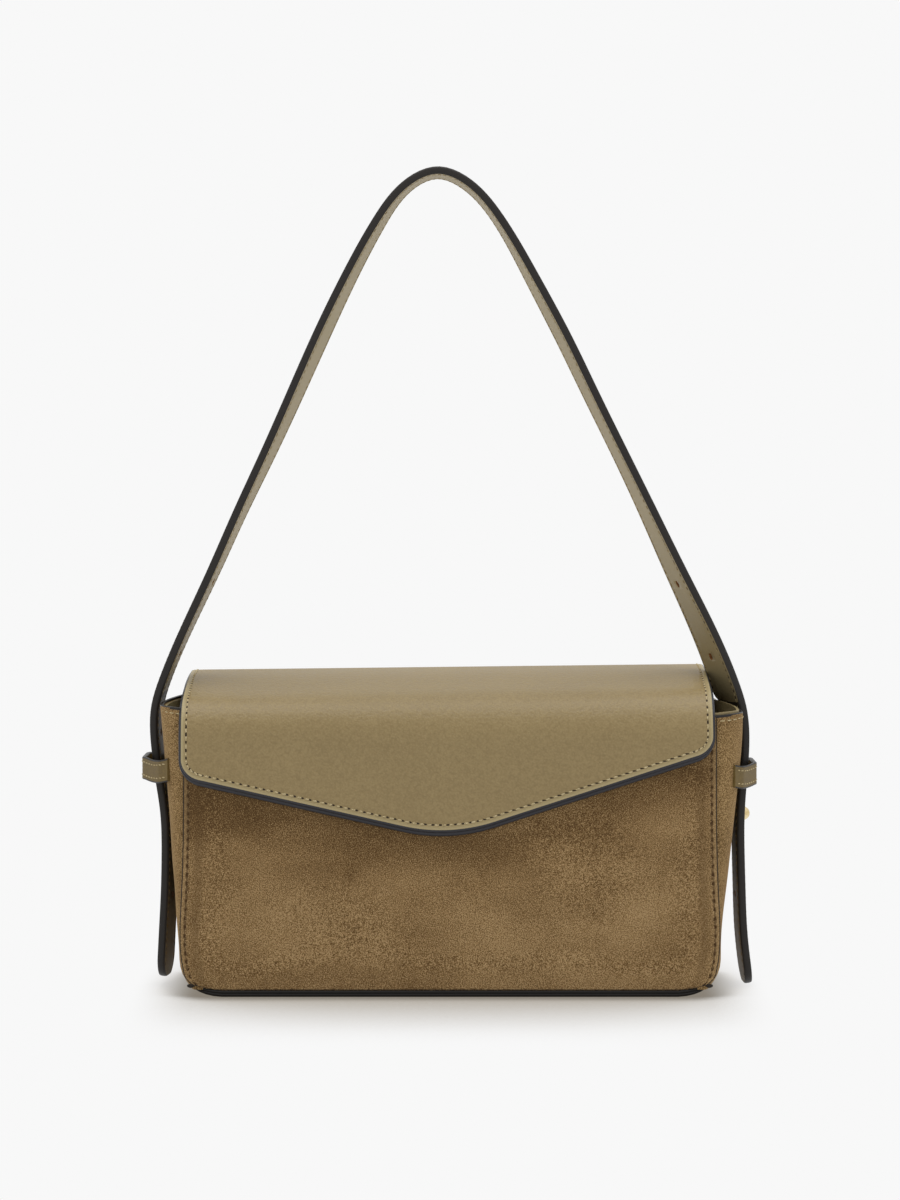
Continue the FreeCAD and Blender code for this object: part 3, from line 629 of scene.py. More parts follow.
def gusset(side, name):
    """A gusset's shell, its painted rim, and the stitched row below it."""
    outer, inner = [gusset_wall(side, body_foot, inset, 46) for inset in (0.0, gusset_thickness)]
    shell = sheet("gusset_suede_" + name, outer, inner, "bag", [gusset_suede])
    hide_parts("gusset_" + name)
    rim = (outer[-1] + inner[-1]) / 2
    run, way = along_line(rim)
    across = unit(np.cross(way, (0, 0, 1.0))) * side
    bead = np.array([(-0.8, -0.6), (-0.85, 0.0), (-0.7, 0.35), (-0.3, 0.5), (0.4, 0.5),
                     (0.8, 0.3), (0.92, -0.15), (0.92, -0.55), (0.78, -0.8), (0.5, -0.5)])
    points, faces = sweep(rim[2:-2], across[2:-2], (0.0, 0.0, 1.0), bead)
    build("gusset_rim_paint_" + name, points, faces, "bag", [gusset_rim_paint])
    places = np.arange(run[4] + 2, run[-4] - 2, 3.4)
    row_run, row_way = along_line(outer[-4])
    centres, along = at_run(places, row_run, outer[-4]), unit(at_run(places, row_run, row_way))
    out = unit(np.cross(along, (0, 0, 1.0)) * side)
    centres[:, 2] = rim_height(centres[:, 1], side) - 2.0
    stitches("gusset_thread_" + name, centres + out * 0.1, along, out, 2.4, 0.6, 0.3, "bag",
             cream_thread)


gusset(-1, "left")
gusset(1, "right")


# Facings, lining and pocket: strips of olive leather finish the mouth, folded over the boards'
# tops and set inside the gussets' rims. Below them hangs a twill lining with a slip pocket.

lining_top, lining_foot = 118.0, 5.1
lining_inset, lining_inner_inset, lining_clearance, lining_straight = 2.7, 3.25, 4.2, 112.0

hide_grain, hide_in, hide_out = new_group("hide_grain", {"Vector": None, "Pebbles": 1500.0})
cells = {"Vector": hide_in["Vector"], "Scale": hide_in["Pebbles"], "Randomness": 1.0}
pebble = values_of(hide_grain, "ShaderNodeTexVoronoi", cells, feature="SMOOTH_F1")[0]
creases = noise(hide_in["Vector"], 420.0, 4.0, 0.66)
patches = noise(hide_in["Vector"], 38.0)
feed(hide_out, {"Tone": creases * 0.45 + patches * 0.15 + 0.34 - pebble * 0.35,
                "Height": creases * 1.5 - pebble * 0.7})


def leather(name, dark, light, roughness, seam_margin=None, pitch=3.6, depth=0.00008, shine=0.5,
            pebbles=1500.0, low=None):
    """Smooth leather: fine pebbles and creases in low relief, its tone drifting in wide patches.
    Beyond a seam it is pressed lighter, with dark needle holes along the seam. Low down it may
    take another colour, given with the heights where that starts and ends; the strap uses this
    for painted shade low on its inner face and painted light low on its tails."""
    material, tree, shader, place = finish_of(name, Coat_Weight=0.08 * shine, Specular_IOR_Level=shine)
    inputs = {"Vector": place, "Pebbles": pebbles}
    tone, height = values_of(tree, "ShaderNodeGroup", inputs, node_tree=hide_grain)
    colour = tone.eased(0.3, 0.7).mix(dark, light)
    gloss = tone.eased(0.3, 0.7, roughness - 0.05, roughness + 0.06)
    if seam_margin is not None:
        along, across = seam_lengths(tree)
        colour = across.eased(0.3, -0.9, 0.0, 0.4).mix(colour, seam_margin)
        colour = across.eased(-1.1, -1.9, 0.0, 0.75).mix(colour, seam_margin)
        # Painted light and shade: a colour blended in by height near the foot.
        if low is not None:
            colour = axes(place)[2].eased(low[1], low[2]).mix(colour, low[0])
        holes = holes_along(along, across, pitch, 0.9, 0.42)
        colour = holes.mix(colour, (44, 31, 15))
        gloss = gloss + holes * 0.4
        height = height - holes * 2.0
    feed(shader, {"Base Color": colour, "Roughness": gloss, "Normal": relief(height, depth, 0.7)})
    return material


facing_leather = leather("facing_leather", (136, 119, 80), (164, 148, 108), 0.5)


def mouth_strip(name, face_y, facing, top):
    """A strip folded over a board: down its inside, with both edges turned and a slow wave."""
    x = np.linspace(-115, 115, 60)
    loop = np.array([(0.05, -1.3), (0.06, -0.6), (0.4, -0.4), (2.1, -0.4), (2.5, -0.6), (2.62, -1.1),
                     (2.66, -8.0), (2.62, -14.7), (2.2, -15.0), (1.75, -14.7), (1.66, -8.0), (1.62, -1.3)])
    points, faces = sweep(points_at(x, face_y - facing * panel_thickness, top), (0.0, -facing, 0.0),
                          (0.0, 0.0, 1.0), loop)
    points[:, 5:9, 1] -= facing * 0.025 * np.sin(x / 19)[:, None]
    strip = build(name + "_lip", points, faces, "bag", [facing_leather])
    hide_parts(name + "_facing")


for panel in panels:
    mouth_strip(*panel)

for side, name, over in ((-1, "left", -0.8), (1, "right", 1.2)):
    lip_outer, lip_inner = [gusset_wall(side, 117.0, gusset_thickness + inset, 14, over=over)
                            for inset in (0.05, 1.2)]
    lip = sheet("gusset_lip_" + name, lip_outer, lip_inner, "bag", [facing_leather])
    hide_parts("gusset_facing_" + name)


def twill(name, dark, light):
    """Lining cloth: a fine twill, its ribs running up to one side as a sine of the slant, uneven."""
    material, tree, shader, place = finish_of(name, Roughness=0.85, Sheen_Weight=0.15)
    x, y, z = axes(place)
    ribs = ((x + y + z) * 5200.0).maths("SINE") * 0.5 + 0.5
    tone = ribs * 0.45 + noise(place, 300.0, 3.0, 0.6) * 0.7
    feed(shader, {"Base Color": tone.eased(0.1, 1.0).mix(dark, light), "Normal": relief(ribs, 0.00006)})
    return material


lining_cloth = twill("lining_cloth", (124, 110, 84), (166, 152, 122))


def lining_ring(height, inset):
    """One level of the lining's plan, once round: both gussets' lines joined by straight panels."""
    right, left = [gusset_wall(side, height, inset, 2, top=height + 0.001, soft=0.3)[0, 5:-5]
                   for side in (1, -1)]
    clear = lining_clearance + inset - lining_inset
    front, back = front_y + clear, back_y - clear
    straight = np.linspace(-1, 1, 40)[1:-1] * lining_straight
    ring = np.concatenate([right, points_at(straight[::-1], back, height), left[::-1],
                           points_at(straight, front, height)])
    return points_at(ring[:, 0], np.clip(ring[:, 1], front, back), height)


def lining_shell(inset):
    """The lining's wall and floor: rings down the side, then rings drawn in over the floor."""
    levels = np.concatenate([np.linspace(lining_top, 14, 22), [9.0, 6.4, lining_foot + inset - lining_inset]])
    pulls = np.concatenate([np.zeros(22), [0.4, 1.6, 4.5]])
    rings = [lining_ring(level, inset + pull) for level, pull in zip(levels, pulls)]
    x, y, z = rings[-1].T
    rings += [points_at(x * share, y * share + 1 - share, z) for share in (0.96, 0.85, 0.6, 0.3, 0.06)]
    return np.stack(rings)


lining_walls = np.stack([lining_shell(lining_inset), lining_shell(lining_inner_inset)])
ring_rows, ring_count = lining_walls.shape[1:3]
ring_total = ring_rows * ring_count
wall_faces = grid_faces(ring_rows, ring_count, wrap_columns=True)
mouth = np.arange(ring_count)
mouth_next = np.roll(mouth, -1)
mouth_wall = np.stack([mouth_next, mouth, mouth + ring_total, mouth_next + ring_total], axis=1)
floor_ring = (ring_total - ring_count + mouth)[None]
lining = build(
    "lining_bag", lining_walls,
    [np.concatenate([wall_faces, wall_faces[:, ::-1] + ring_total, mouth_wall]),
     floor_ring, floor_ring[:, ::-1] + ring_total], "bag", [lining_cloth])
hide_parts("lining")

pocket_x, pocket_z = np.meshgrid(
    np.concatenate([[-75, -74.6, -73.8], np.linspace(-72, 72, 50), [73.8, 74.6, 75]]),
    np.concatenate([[44, 44.4, 45.4], np.linspace(48, 103, 30), [104.6, 105.6, 106]]))
pocket_gape = 2.2 * share_of(pocket_z, 60, 106) ** 2 * (1 - (pocket_x / 75) ** 2) ** 1.2
pocket_narrow = 1 - 0.02 * share_of(pocket_z, 50, 44) ** 2
pocket_outer = points_at(pocket_x * pocket_narrow, 33.0 - pocket_gape, pocket_z)
slip_pocket = sheet("slip_pocket_cloth", pocket_outer, pocket_outer - (0.0, 0.6, 0.0), "bag",
                    [lining_cloth])
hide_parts("slip_pocket")


# Flap: olive leather lined with leather over a thin stiffener, bent over a rounded brow to the
# back. Its painted edge is bevelled at the foot, and one row of cream thread runs all round.

flap_start, flap_thickness = 40.0, 3.0
flap_left, flap_right = -127.0, 124.2
flap_left_foot, flap_right_foot = 101.4, 113.3
flap_corner, flap_tip_round = 12.5, 82.0
flap_seam_inset, flap_pitch, flap_level = 2.5, 3.7, 124.0

flap_line = rounded_line([(-41.0, 40.0), (-41.0, 138.8), (4.0, 148.8), (41.0, 151.4), (41.0, 134.2)],
                         [0, 20, 150, 11, 0], 0.5)
flap_run = along_line(flap_line)[0]
flap_line = at_run(np.linspace(0, flap_run[-1], 400), flap_run, flap_line)
flap_soft = np.exp(-(np.arange(-24, 25) / 12.0) ** 2)
flap_padded = np.pad(flap_line, ((24, 24), (0, 0)), mode="reflect", reflect_type="odd")
flap_line = points_at(*[
    np.convolve(measure, flap_soft / flap_soft.sum(), "valid") for measure in flap_padded.T])
flap_run, flap_way = along_line(flap_line)
flap_end = flap_start + flap_run[-1]


def flap_place(x, run, depth):
    """A point of the flap from its flat pattern: across it, along its bent path from the foot
    over the brow to the hinge, and down into its thickness. The crown rises a little to the right.
    The point comes with the direction along the path and the one into the thickness."""
    y, z = np.moveaxis(at_run(run - flap_start, flap_run, flap_line), -1, 0)
    step_y, step_z = np.moveaxis(unit(at_run(run - flap_start, flap_run, flap_way)), -1, 0)
    lift = 0.012 * x * gently(share_of(run, 126, 152) * share_of(run, flap_end, flap_end - 26))
    wave = 0.22 * np.sin(x / 34 + 0.6) * np.sin(run / 19) - 0.25 * (x / 126) ** 2
    outward = wave * share_of(run, 134, 114) - step_z * depth
    return (points_at(x, y - outward, z - step_y * depth + lift), points_at(0, step_y, step_z),
            points_at(0, step_z, -step_y))


def laid_on_flap(way, step):
    """A direction of the flat pattern, turned with the flap where its path has a direction."""
    return way[:, :1] * (1.0, 0.0, 0.0) + way[:, 1:] * step


tip_x = ((flap_left_foot - flap_right_foot + flap_right_rise * flap_right + flap_left_rise * flap_left)
         / (flap_left_rise + flap_right_rise))
tip_run = flap_left_foot - flap_left_rise * (tip_x - flap_left)
flap_outline = rounded_line(
    [(flap_left, flap_end), (flap_left, flap_left_foot), (tip_x, tip_run),
     (flap_right, flap_right_foot), (flap_right, flap_end)],
    [0, flap_corner, flap_tip_round, flap_corner, 0], 1.5)
outline_run, outline_way = along_line(flap_outline)
outline_out = points_at(outline_way[:, 1], -outline_way[:, 0])
bevel = 1.15 + 1.85 * np.clip(-outline_out[:, 1:], 0, 1) ** 1.5
leather_rim = flap_outline - outline_out * bevel

flap_leather = leather("flap_leather_grain", (135, 115, 73), (152, 132, 89), 0.48,
                       (179, 164, 122), flap_pitch, 0.0003, pebbles=1100.0)
flap_inside = leather("flap_inside_leather", (120, 104, 72), (146, 130, 96), 0.62)
flap_paint = edge_paint("flap_edge_paint", (24, 24, 29), (50, 50, 57), 0.38, 0.35)

turning = np.flatnonzero(np.abs(outline_out[:, 1]) > 1e-3)
foot_x, foot_run = leather_rim[turning[0] - 1:turning[-1] + 2].T[..., None]
flap_runs = np.concatenate([
    foot_run + (0.0, 0.15, 0.4, 0.8, 1.2, 1.7, 2.2, 2.8),
    foot_run + 5.0 + (flap_level - foot_run - 5.0) * np.linspace(0, 1, 24),
    0 * foot_run + np.linspace(flap_level, flap_end, 96)[1:]], axis=1)
flat = points_at(foot_x, flap_runs)
rim_near = np.stack([
    np.linalg.norm(flat[:, k, None] - leather_rim, axis=2).argmin(axis=1)
    for k in range(flat.shape[1])], axis=1)
from_near = flat - leather_rim[rim_near]
rim_gap = np.minimum(np.linalg.norm(from_near, axis=2),
                     np.abs(np.sum(from_near * outline_out[rim_near], axis=2)) + 0.02)
rolled = groove(rim_gap, 0.4, 0.45, 1.3)
pressed = groove(rim_gap - flap_seam_inset, 0.2, 0.6)
flap = sheet(
    "flap_leather_sheet", flap_place(foot_x, flap_runs, rolled + pressed)[0],
    flap_place(foot_x, flap_runs, flap_thickness - groove(rim_gap, 0.25, 0.5))[0], "flap",
    [flap_leather, flap_inside],
    points_at(outline_run[rim_near], rim_gap - flap_seam_inset))
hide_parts("flap_leather", "flap_stiffener", "flap_lining")

edge_place, edge_step, edge_in = flap_place(*flap_outline.T, 0.0)
bevel_share, edge_shift, edge_depth = np.array([
    (-1, -0.5, 0.42), (-1, 0, 0.3), (-0.86, 0, 0.34), (-0.7, 0, 0.62), (-0.56, 0, 1.08),
    (-0.52, 0, 1.3), (-0.4, 0, 1.24), (-0.2, 0, 1.45), (-0.05, 0, 1.85), (0, 0, 2.3),
    (0, -0.12, 2.75), (0, -0.5, 3.02), (-1, -0.5, 3.05)]).T
points, faces = sweep(edge_place, laid_on_flap(outline_out, edge_step), edge_in,
                      points_at(bevel * bevel_share + edge_shift, edge_depth))
build("flap_edge_bead", points, faces, "flap", [flap_paint])

sewn = flap_outline - outline_out * (bevel + flap_seam_inset)
sewn_at = np.arange(flap_pitch * 1.5, outline_run[-1] - 4, flap_pitch)
sewn_place, sewn_step, sewn_in = flap_place(*at_run(sewn_at, outline_run, sewn).T, 0.16)
sewn_way = laid_on_flap(at_run(sewn_at, outline_run, outline_way), sewn_step)
stitches("flap_thread", sewn_place, unit(sewn_way), -sewn_in, 2.2, 0.8, 0.32, "flap",
         cream_thread)


# Flap anchor: the flap's strip below the hinge line, sewn flat on the back panel, its top edge
# hollowed so that the flap can turn.

anchor_left, anchor_right, anchor_foot, anchor_inset = -120.6, 118.2, 113.5, 2.9
anchor_leather = leather("anchor_leather", (130, 112, 78), (149, 132, 97), 0.46, (168, 153, 116))
anchor_x, anchor_z = np.meshgrid(
    np.concatenate([anchor_left + edge_steps[:9], np.linspace(anchor_left + 6, anchor_right - 6, 60),
                    anchor_right - edge_steps[8::-1]]),
    np.concatenate([anchor_foot + edge_steps[:9], np.linspace(119, 130.6, 8), [132.2, 133.2, 133.8]]))
anchor_gap = np.minimum(np.minimum(anchor_x - anchor_left, anchor_right - anchor_x), anchor_z - anchor_foot)
anchor_hollow = 1.6 * share_of(anchor_z, 132.4, 133.8) ** 1.5
anchor_y = (41.0 - groove(anchor_gap, 0.5, 0.45, 1.3) - groove(anchor_gap - anchor_inset, 0.2, 0.6)
            - anchor_hollow)
anchor = sheet(
    "flap_anchor_strip", points_at(anchor_x, anchor_y, anchor_z),
    points_at(anchor_x, 38.05, anchor_z - 0.6 * (anchor_z > 133.5)), "bag",
    [anchor_leather], points_at(anchor_x - anchor_left, anchor_gap - anchor_inset))
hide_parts("flap_anchor")
row_left, row_right = anchor_left + anchor_inset, anchor_right - anchor_inset
row_foot = anchor_foot + anchor_inset
anchor_row = rounded_line(
    [(row_left, 40.84, 132.0), (row_left, 40.84, row_foot), (row_right, 40.84, row_foot),
     (row_right, 40.84, 132.0)], [0, 1.5, 1.5, 0], 1.0)
row_run, row_way = along_line(anchor_row)
row_at = np.arange(2.0, row_run[-1] - 1, flap_pitch)
stitches("anchor_thread", at_run(row_at, row_run, anchor_row), unit(at_run(row_at, row_run, row_way)),
         (0.0, 1.0, 0.0), 2.5, 0.8, 0.3, "bag", cream_thread)


# Strap: two layers of olive leather glued back to back, sewn near both edges and painted at
# the rim. One band from tail to tail: it bends and twists as leather does, and runs out of true.

strap_wide, strap_thick, strap_middle_y, strap_tip, strap_tail = 22.0, 3.8, 1.0, 10.5, 138.0
strap_knots = np.array([
    (-140.1, 4.2), (-139.0, 27), (-138.1, 45), (-137.7, 64), (-138.4, 84), (-140.6, 99), (-142.4, 113),
    (-143.2, 124), (-142.6, 134), (-138.7, 147.5), (-129.8, 169), (-116.9, 197), (-103.7, 227),
    (-90.9, 255), (-78.1, 284), (-65.7, 312), (-51.5, 341), (-36.9, 367), (-21.8, 385.2), (-5.5, 391.7),
    (8.4, 386.7), (25.1, 369), (42.0, 341), (57.7, 312), (71.3, 284), (85.6, 255), (99.5, 227),
    (114.4, 197), (128.4, 169), (137.5, 147.5), (141.6, 134), (142.8, 124), (142.8, 113),
    (141.8, 99), (140.7, 84), (140.6, 64), (141.1, 45), (141.9, 27), (145.0, 1.0)])
twist_runs = [0, 24, 57, 95, 128, 147, 176, 198, 231, 262, 294, 325, 357, 388, 410, 427, 442, 464, 497,
              530, 561, 594, 625, 658, 674, 690, 703, 712, 718, 722, 725, 728, 731, 738, 753, 778, 812, 860]
twist_turns = [8, 8, 6, 3, 2.5, 2.5, 3.3, 4.3, 6, 8.4, 10.5, 11.2, 9.2, 6.6, 3.4, 2.3, 3.2, 4, 7.5, 10,
               10, 10, 12.4, 17, 19.6, 22.4, 24.5, 26, 26.5, 25, 21, 16, 11.5, 6.5, 4, 2.5, 2, 3]
tip_steps = np.array([0, 0.12, 0.35, 0.7, 1.1, 1.7, 2.4, 3.3, 4.4, 5.7, 7.2, 8.8, 10.5])
knot_run = along_line(strap_knots)[0]
strap_length = knot_run[-1]
strap_run = np.concatenate([
    tip_steps, np.linspace(12.5, strap_length - 12.5, 460), strap_length - tip_steps[::-1]])


def strap_line(run):
    """The strap's outer front edge at lengths run from the left tip, with Y left at nothing."""
    x, z = [smooth_through(run, knot_run, knots) for knots in strap_knots.T]
    return points_at(x, 0, z)


def strap_place(run, across_at=0.0, depth=0.0):
    """A point in the strap: along it, across it from its outer front edge, and down from its outer
    face. It comes with the strap's direction, the way across it to the back and the way into its
    thickness. The turn leans the back edge inwards."""
    step = unit(strap_line(run + 0.5) - strap_line(run - 0.5))
    outward = np.cross(step, (0.0, 1.0, 0.0))
    turn = np.radians(smooth_through(run, twist_runs, twist_turns))[:, None]
    across = np.cos(turn) * (0.0, 1.0, 0.0) - np.sin(turn) * outward
    inward = -np.cos(turn) * outward - np.sin(turn) * (0.0, 1.0, 0.0)
    corner = strap_line(run) + (0.0, strap_middle_y - strap_wide / 2, 0.0)
    return corner + across * across_at + inward * depth, step, across, inward


edge_rise = np.array([1.0, 0.5, 0.15, 0.0, 0.0, 0.15, 0.5, 1.0])
edge_deep = np.array([0.0, 0.12, 0.6, 1.3, 2.5, 3.2, 3.68, 3.8])
face_share = np.array([0.06, 0.1, 0.16, 0.3, 0.5, 0.7, 0.84, 0.9, 0.94])
from_tip = np.minimum(strap_run, strap_length - strap_run)
tip_left = np.clip(strap_tip - from_tip, 0, strap_tip)
half_wide = strap_wide / 2 - strap_tip + np.sqrt(strap_tip ** 2 - tip_left ** 2)
half_wide = np.where(from_tip < 1e-6, 1.4, half_wide)[:, None]
thin = np.sqrt(1 - share_of(from_tip, 1.2, 0) ** 2 * 0.97)[:, None]
rise = np.minimum(edge_rise, half_wide * 0.8)
inside = (half_wide - rise[:, :1]) * (face_share * 2 - 1)
ring_across = strap_wide / 2 + np.concatenate(
    [inside, half_wide - rise, inside[:, ::-1], rise[:, ::-1] - half_wide], axis=1)
dip = groove(face_share - 0.1, 0.14, 0.02) + groove(face_share - 0.9, 0.14, 0.02)
ring_depth = np.concatenate([dip, edge_deep, strap_thick - dip[::-1], edge_deep[::-1]])
ring_depth = strap_thick / 2 + (ring_depth - strap_thick / 2) * thin
corner, step, across, inward = strap_place(strap_run)
strap_points, strap_faces = sweep(corner, across, inward, points_at(ring_across, ring_depth))
strap_rows, strap_ring = ring_across.shape
# Finishes by number: 0 outer face, 1 inner face, 2 painted edge, 3 cut leather, 4 a tail's inner face, its
# shade painted in.
row, column = np.divmod(np.arange((strap_rows - 1) * strap_ring), strap_ring)
painted = np.isin(column, [*range(9, 16), *range(27, 33)]) | (np.minimum(row, strap_rows - 2 - row) < 4)
inner_face = (column >= 16) & (column <= 26)
strap_parts = np.select([painted, inner_face & (from_tip[row] < strap_tail), inner_face], [2, 4, 1])
strap_seam = points_at(strap_run[:, None], 2.0 - np.minimum(ring_across, strap_wide - ring_across))

strap_leather = leather("strap_leather", (126, 109, 76), (148, 131, 98), 0.48, (150, 134, 100))
# The inner face turns darker low down: painted shade where it hangs by the flap and the bag.
strap_lining = leather("strap_inner_leather", (146, 131, 96), (170, 156, 122), 0.5,
                       (164, 150, 116), shine=0.3, low=((138, 124, 91), 0.225, 0.145))
# A tail's inner face: the inner leather with its shade painted in as a dark copy, painted lighter again near
# the tip.
shaded_tail_lining = leather("strap_tail_shaded_leather", (40, 35, 28), (62, 56, 46), 0.5,
                      (56, 50, 41), shine=0.14, low=((130, 123, 111), 0.075, 0.02))
strap_paint = edge_paint("strap_edge_paint", (24, 21, 19), (46, 42, 39), 0.42)
cut_leather = suede("cut_leather", (70, 42, 20), (124, 80, 44), (160, 112, 68), 0.3, False)
strap = build("strap_band", strap_points, strap_faces, None,
              [strap_leather, strap_lining, strap_paint, cut_leather, shaded_tail_lining], strap_seam,
              np.append(strap_parts, [2, 2]))

samples = np.linspace(0, strap_length, 4000)
sample_x, _, sample_z = strap_line(samples).T
hole_runs = np.array([
    samples[np.where(sample_x * side > 0, np.abs(sample_z - height), np.inf).argmin()]
    for side in (-1, 1) for height in (43.5, 82.0, 120.5, 160.3, 195.0)])
hole_sides = 20
hole_turn = np.arange(hole_sides)[:, None] * math.pi * 2 / hole_sides
hole_at, hole_step, hole_across, hole_in = [
    part[:, None] for part in strap_place(hole_runs, strap_wide / 2, -2.0)]
hole_ring = hole_at + hole_step * 1.75 * np.sin(hole_turn) + hole_across * 1.45 * np.cos(hole_turn)
punch = build("strap_punch", np.stack([hole_ring, hole_ring + hole_in * 8], 1),
              repeated(tube_faces(2, hole_sides), len(hole_runs), 2 * hole_sides), None,
              [cut_leather])
cut = strap.modifiers.new("punch", "BOOLEAN")
cut.operation, cut.solver, cut.material_mode, cut.object = "DIFFERENCE", "EXACT", "TRANSFER", punch
punched = bpy.data.meshes.new_from_object(strap.evaluated_get(bpy.context.evaluated_depsgraph_get()))
strap.modifiers.clear()
strap.data = punched
strap.data.name = "strap_band"
bpy.data.objects.remove(punch)

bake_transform(strap)
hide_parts("strap_arch", "strap_leg_left", "strap_leg_right", "strap_end_left", "strap_end_right")

strap_thread = suede("strap_thread_finish", (112, 96, 64), (142, 126, 90), (166, 150, 112), 0.2, False)
sew_at = np.arange(9.0, strap_length - 9.0, 3.3)
sew_inset, sew_depth = 2.3, 0.1
for label, sew_across, depth, facing in (
        ("outer_front", sew_inset, sew_depth, -1), ("outer_rear", strap_wide - sew_inset, sew_depth, -1),
        ("inner_front", sew_inset, strap_thick - sew_depth, 1),
        ("inner_rear", strap_wide - sew_inset, strap_thick - sew_depth, 1)):
    centres, step, across, inward = strap_place(sew_at, sew_across, depth)
    sewn_row = stitches("strap_thread_" + label, centres, step, inward * facing, 2.5, 0.6, 0.22, None,
                        strap_thread)
    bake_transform(sewn_row)


# Keepers: a loop of doubled leather round each tail, sewn to the gusset, its rims painted and
# a row of cream thread near each of them. The tail slides in it with room to spare.

keeper_leather = leather("keeper_leather", (99, 81, 42), (118, 99, 55), 0.52, shine=0.3)
keeper_up = np.array([-5.4, -5.2, -4.7, -4.1, -3.1, -1.4, 0, 1.4, 3.1, 4.1, 4.7, 5.2, 5.4])
keeper_swell = np.array([0.45, 0.85, 1.04, 1.0, 0.9, 0.97, 0.94, 0.97, 0.9, 1.0, 1.04, 0.85, 0.45])
keeper_ring = np.concatenate([points_at(keeper_swell, keeper_up), points_at(-keeper_swell, keeper_up)[::-1]])


def keeper_sag(points):
    """How far the loop's two long arms hang between the gusset and its outer end. The front arm
    climbs a little where it runs forward along the gusset."""
    hang = 1.2 * np.sin(share_of(np.abs(points[..., 0]), 132.5, 145.0) * math.pi) - 0.4
    return hang - 0.06 * np.clip(-13.0 - points[..., 1], 0, 20)


def keeper(side, name, middle, corners):
    """A keeper: the loop's line in plan, carrying a tall thin ring with rounded, painted rims. The
    leather waists in a little at mid height."""
    x, y = rounded_line(corners, [0, 8, 5, 5.5, 0], 0.9).T
    path = points_at(side * x, y, middle)
    run, way = along_line(path)
    points, faces = sweep(path, np.cross(way, (0, 0, side)), (0.0, 0.0, 1.0), keeper_ring)
    points[..., 2] -= keeper_sag(points)
    rims = np.isin(np.arange(len(keeper_ring)), [0, 1, *range(10, 15), 23, 24, 25])
    piece = build("keeper_loop_" + name, points, faces, "bag",
                  [keeper_leather, strap_paint], parts=np.append(np.tile(rims, len(path) - 1), [0, 0]))
    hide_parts("keeper_" + name)
    places = np.arange(3.0, run[-1] - 2.5, 2.7)
    centres, along = at_run(places, run, path), unit(at_run(places, run, way))
    centres[:, 2] -= keeper_sag(centres)
    out = np.cross(along, (0, 0, side))
    for label, height in (("top", 3.1), ("foot", -3.1)):
        stitches("keeper_thread_" + name + "_" + label, centres + out * 0.86 + (0, 0, height), along, out,
                 2.0, 0.62, 0.3, "bag", cream_thread)


keeper(-1, "left", 104.6, [(132.2, -30.4), (136.6, -25.8), (145.7, -11.0), (145.7, 13.8), (131.6, 13.4)])
keeper(1, "right", 102.0, [(133.4, -30.8), (137.6, -26.0), (145.2, -11.0), (145.2, 13.8), (131.6, 13.4)])


# Ball studs: turned and polished brass. A base seats on the gusset, a neck passes the strap's
# hole, and the ball holds the strap. Each has a steel screw behind it.

metal_wear, wear_in, wear_out = new_group("metal_wear", {"Vector": None})
feed(wear_out, {"Tone": noise(wear_in["Vector"], 260.0, 3.0, 0.6),
                "Height": noise(wear_in["Vector"], 2400.0)})


def metal(name, dark, light, roughness):
    """Polished metal, a little duller and darker where it is handled less."""
    material, tree, shader, place = finish_of(name, Metallic=1.0)
    tone, height = values_of(tree, "ShaderNodeGroup", {"Vector": place}, node_tree=metal_wear)
    feed(shader, {
        "Base Color": tone.eased(0.3, 0.7).mix(dark, light),
        "Roughness": tone.eased(0.3, 0.7, roughness + 0.08, roughness - 0.03),
        "Normal": relief(height, 0.00001)})
    return material


brass = metal("brass", (206, 180, 124), (238, 220, 178), 0.18)
nickel = metal("snap_nickel", (168, 162, 150), (214, 208, 196), 0.25)

stud_angle = np.arange(32) * math.pi / 16
stud_base = [(131.0, 0.3), (131.0, 3.2), (131.6, 3.5), (132.6, 3.4), (132.9, 3.0), (133.0, 1.7)]
ball_middle, ball_radius = 140.65, 3.25
ball = [(ball_middle - ball_radius * math.cos(turn), ball_radius * math.sin(turn))
        for turn in np.linspace(0.5, 3.1, 15)]
cap = [(137.3, 1.7), (137.4, 3.3), (137.55, 3.5), (137.8, 3.5), (138.0, 3.3), (138.1, 2.0), (138.1, 0.2)]
for name, side, head in (("ball_stud_right", 1, [(137.2, 1.7)] + ball), ("cap_stud_left", -1, cap)):
    length, radius = np.array(stud_base + head).T[..., None]
    points, faces = sweep(points_at(side * length[:, 0], 1.0, 82.0), (0, -side, 0), (0, 0, 1),
                          points_at(radius * np.cos(stud_angle), radius * np.sin(stud_angle)))
    stud = build(name, points, faces, "bag", [brass])
    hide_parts("stud_" + name.split("_")[-1])


# Hidden parts: nickel snap and screws, and grey board inside the panels and the base. Their
# shapes come from CAD, and only their plain finish is changed.

grey_board = suede("grey_board", (112, 106, 96), (138, 131, 118), (160, 152, 138), 0.5, False)
for material, node_names in (
        (nickel, ("snap_socket", "snap_socket_plate", "snap_stud", "snap_stud_plate", "stud_screw_left",
                  "stud_screw_right")),
        (grey_board, ("front_board", "back_board", "base_board"))):
    for node_name in node_names:
        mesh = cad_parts[node_name].data
        mesh.materials.clear()
        mesh.materials.append(material)


# Studio: a white floor that runs on into a white room, lit by a broad lamp above, one behind
# the camera and one at each side. Only the camera and reflections see the room as white. Near
# the bag the floor's shadow is painted into its white glow from ambient occlusion.

white = (248, 248, 248)


def lamp(name, place, target, width, height, power):
    """A soft lamp of a given size, turned from its place to its target."""
    data = bpy.data.lights.new(name, "AREA")
    data.shape, data.size, data.size_y, data.energy = "RECTANGLE", width, height, power
    made = set_out(name, data)
    made.location = place
    aim = unit(np.subtract(target, place))
    made.rotation_euler = (math.acos(-aim[2]), 0.0, math.atan2(aim[0], -aim[1]))


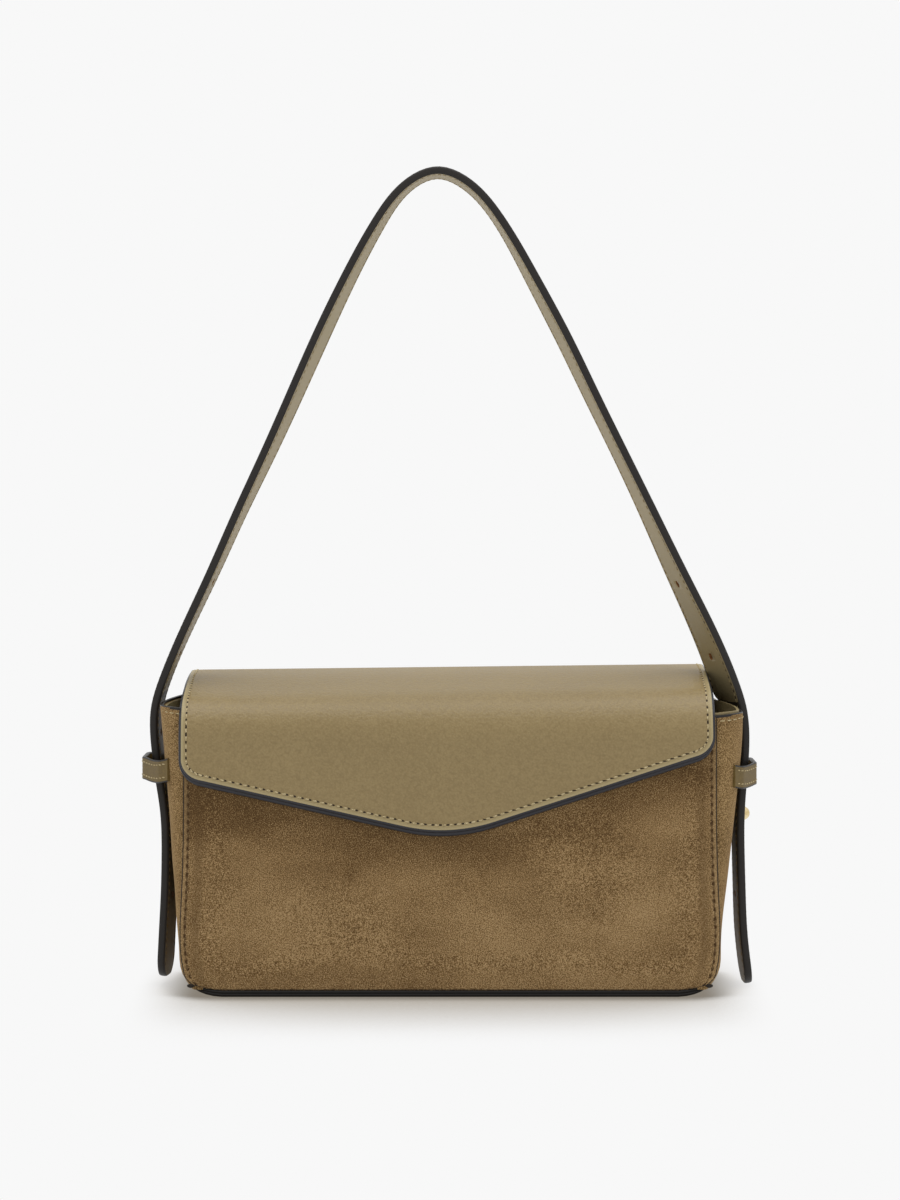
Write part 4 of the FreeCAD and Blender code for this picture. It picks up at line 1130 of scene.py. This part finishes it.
lamp("lamp_above", (0.0, -0.25, 1.75), (0.0, 0.0, 0.1), 1.6, 1.2, 16.0)
lamp("lamp_front", (-0.3, -2.4, 1.1), (0.0, 0.0, 0.15), 1.6, 1.2, 49.0)
for name, side in (("lamp_left", -1), ("lamp_right", 1)):
    lamp(name, (1.6 * side, -0.9, 0.7), (0.0, 0.0, 0.12), 0.6, 1.4, 13.5)


def seen_by(tree, *rays):
    """1 for light paths of the named kinds and 0 for all others."""
    paths = node(tree, "ShaderNodeLightPath").outputs
    seen = Value(paths[rays[0]])
    for ray in rays[1:]:
        seen = seen.maths("MAXIMUM", paths[ray])
    return seen


world = bpy.data.worlds.new("room")
world.use_nodes = True
bpy.context.scene.world = world
seen_white = seen_by(world.node_tree, "Is Camera Ray", "Is Glossy Ray", "Is Transmission Ray")
feed(world.node_tree.nodes["Background"],
     {"Color": paint(white), "Strength": seen_white.eased(0.0, 1.0, 0.66, 1.0)})

floor_half, near_contact, wide_contact = 30.0, 0.016, 0.13
floor_mesh = bpy.data.meshes.new("floor")
floor_mesh.from_pydata([(x * floor_half, y * floor_half, 0) for x, y in ((-1, -1), (1, -1), (1, 1), (-1, 1))],
                       [], [(0, 1, 2, 3)])
floor = set_out("floor", floor_mesh)
floor_finish, tree, shader, place = finish_of(
    "floor_finish", Base_Color=(0.86, 0.85, 0.83, 1.0), Roughness=0.8, Specular_IOR_Level=0.1)
# Painted shadow: ambient occlusion, near and wide, darkens the floor's glow by the bag and fades out to its
# sides.
open_near, open_wide = [
    values_of(tree, "ShaderNodeAmbientOcclusion", {"Distance": distance}, samples=12)[1]
    for distance in (near_contact, wide_contact)]
painted_floor_shadow = ((open_wide - 0.5) / 0.43).mix((176, 168, 156), white)
painted_floor_shadow = open_near.eased(0.95, 0.6, 0.0, 0.6).mix(painted_floor_shadow, (96, 89, 78))
painted_floor_shadow = axes(place)[0].maths("ABSOLUTE").eased(0.118, 0.152).mix(painted_floor_shadow, white)
glow = node(tree, "ShaderNodeEmission", {"Color": painted_floor_shadow, "Strength": 1.0}).outputs[0]
seen_floor = seen_by(tree, "Is Camera Ray", "Is Glossy Ray")
mixed = node(tree, "ShaderNodeMixShader", {0: seen_floor, 1: shader.outputs[0], 2: glow}).outputs[0]
feed(tree.nodes["Material Output"], {"Surface": mixed})
floor_mesh.materials.append(floor_finish)

bpy.context.scene.view_settings.view_transform = "Standard"
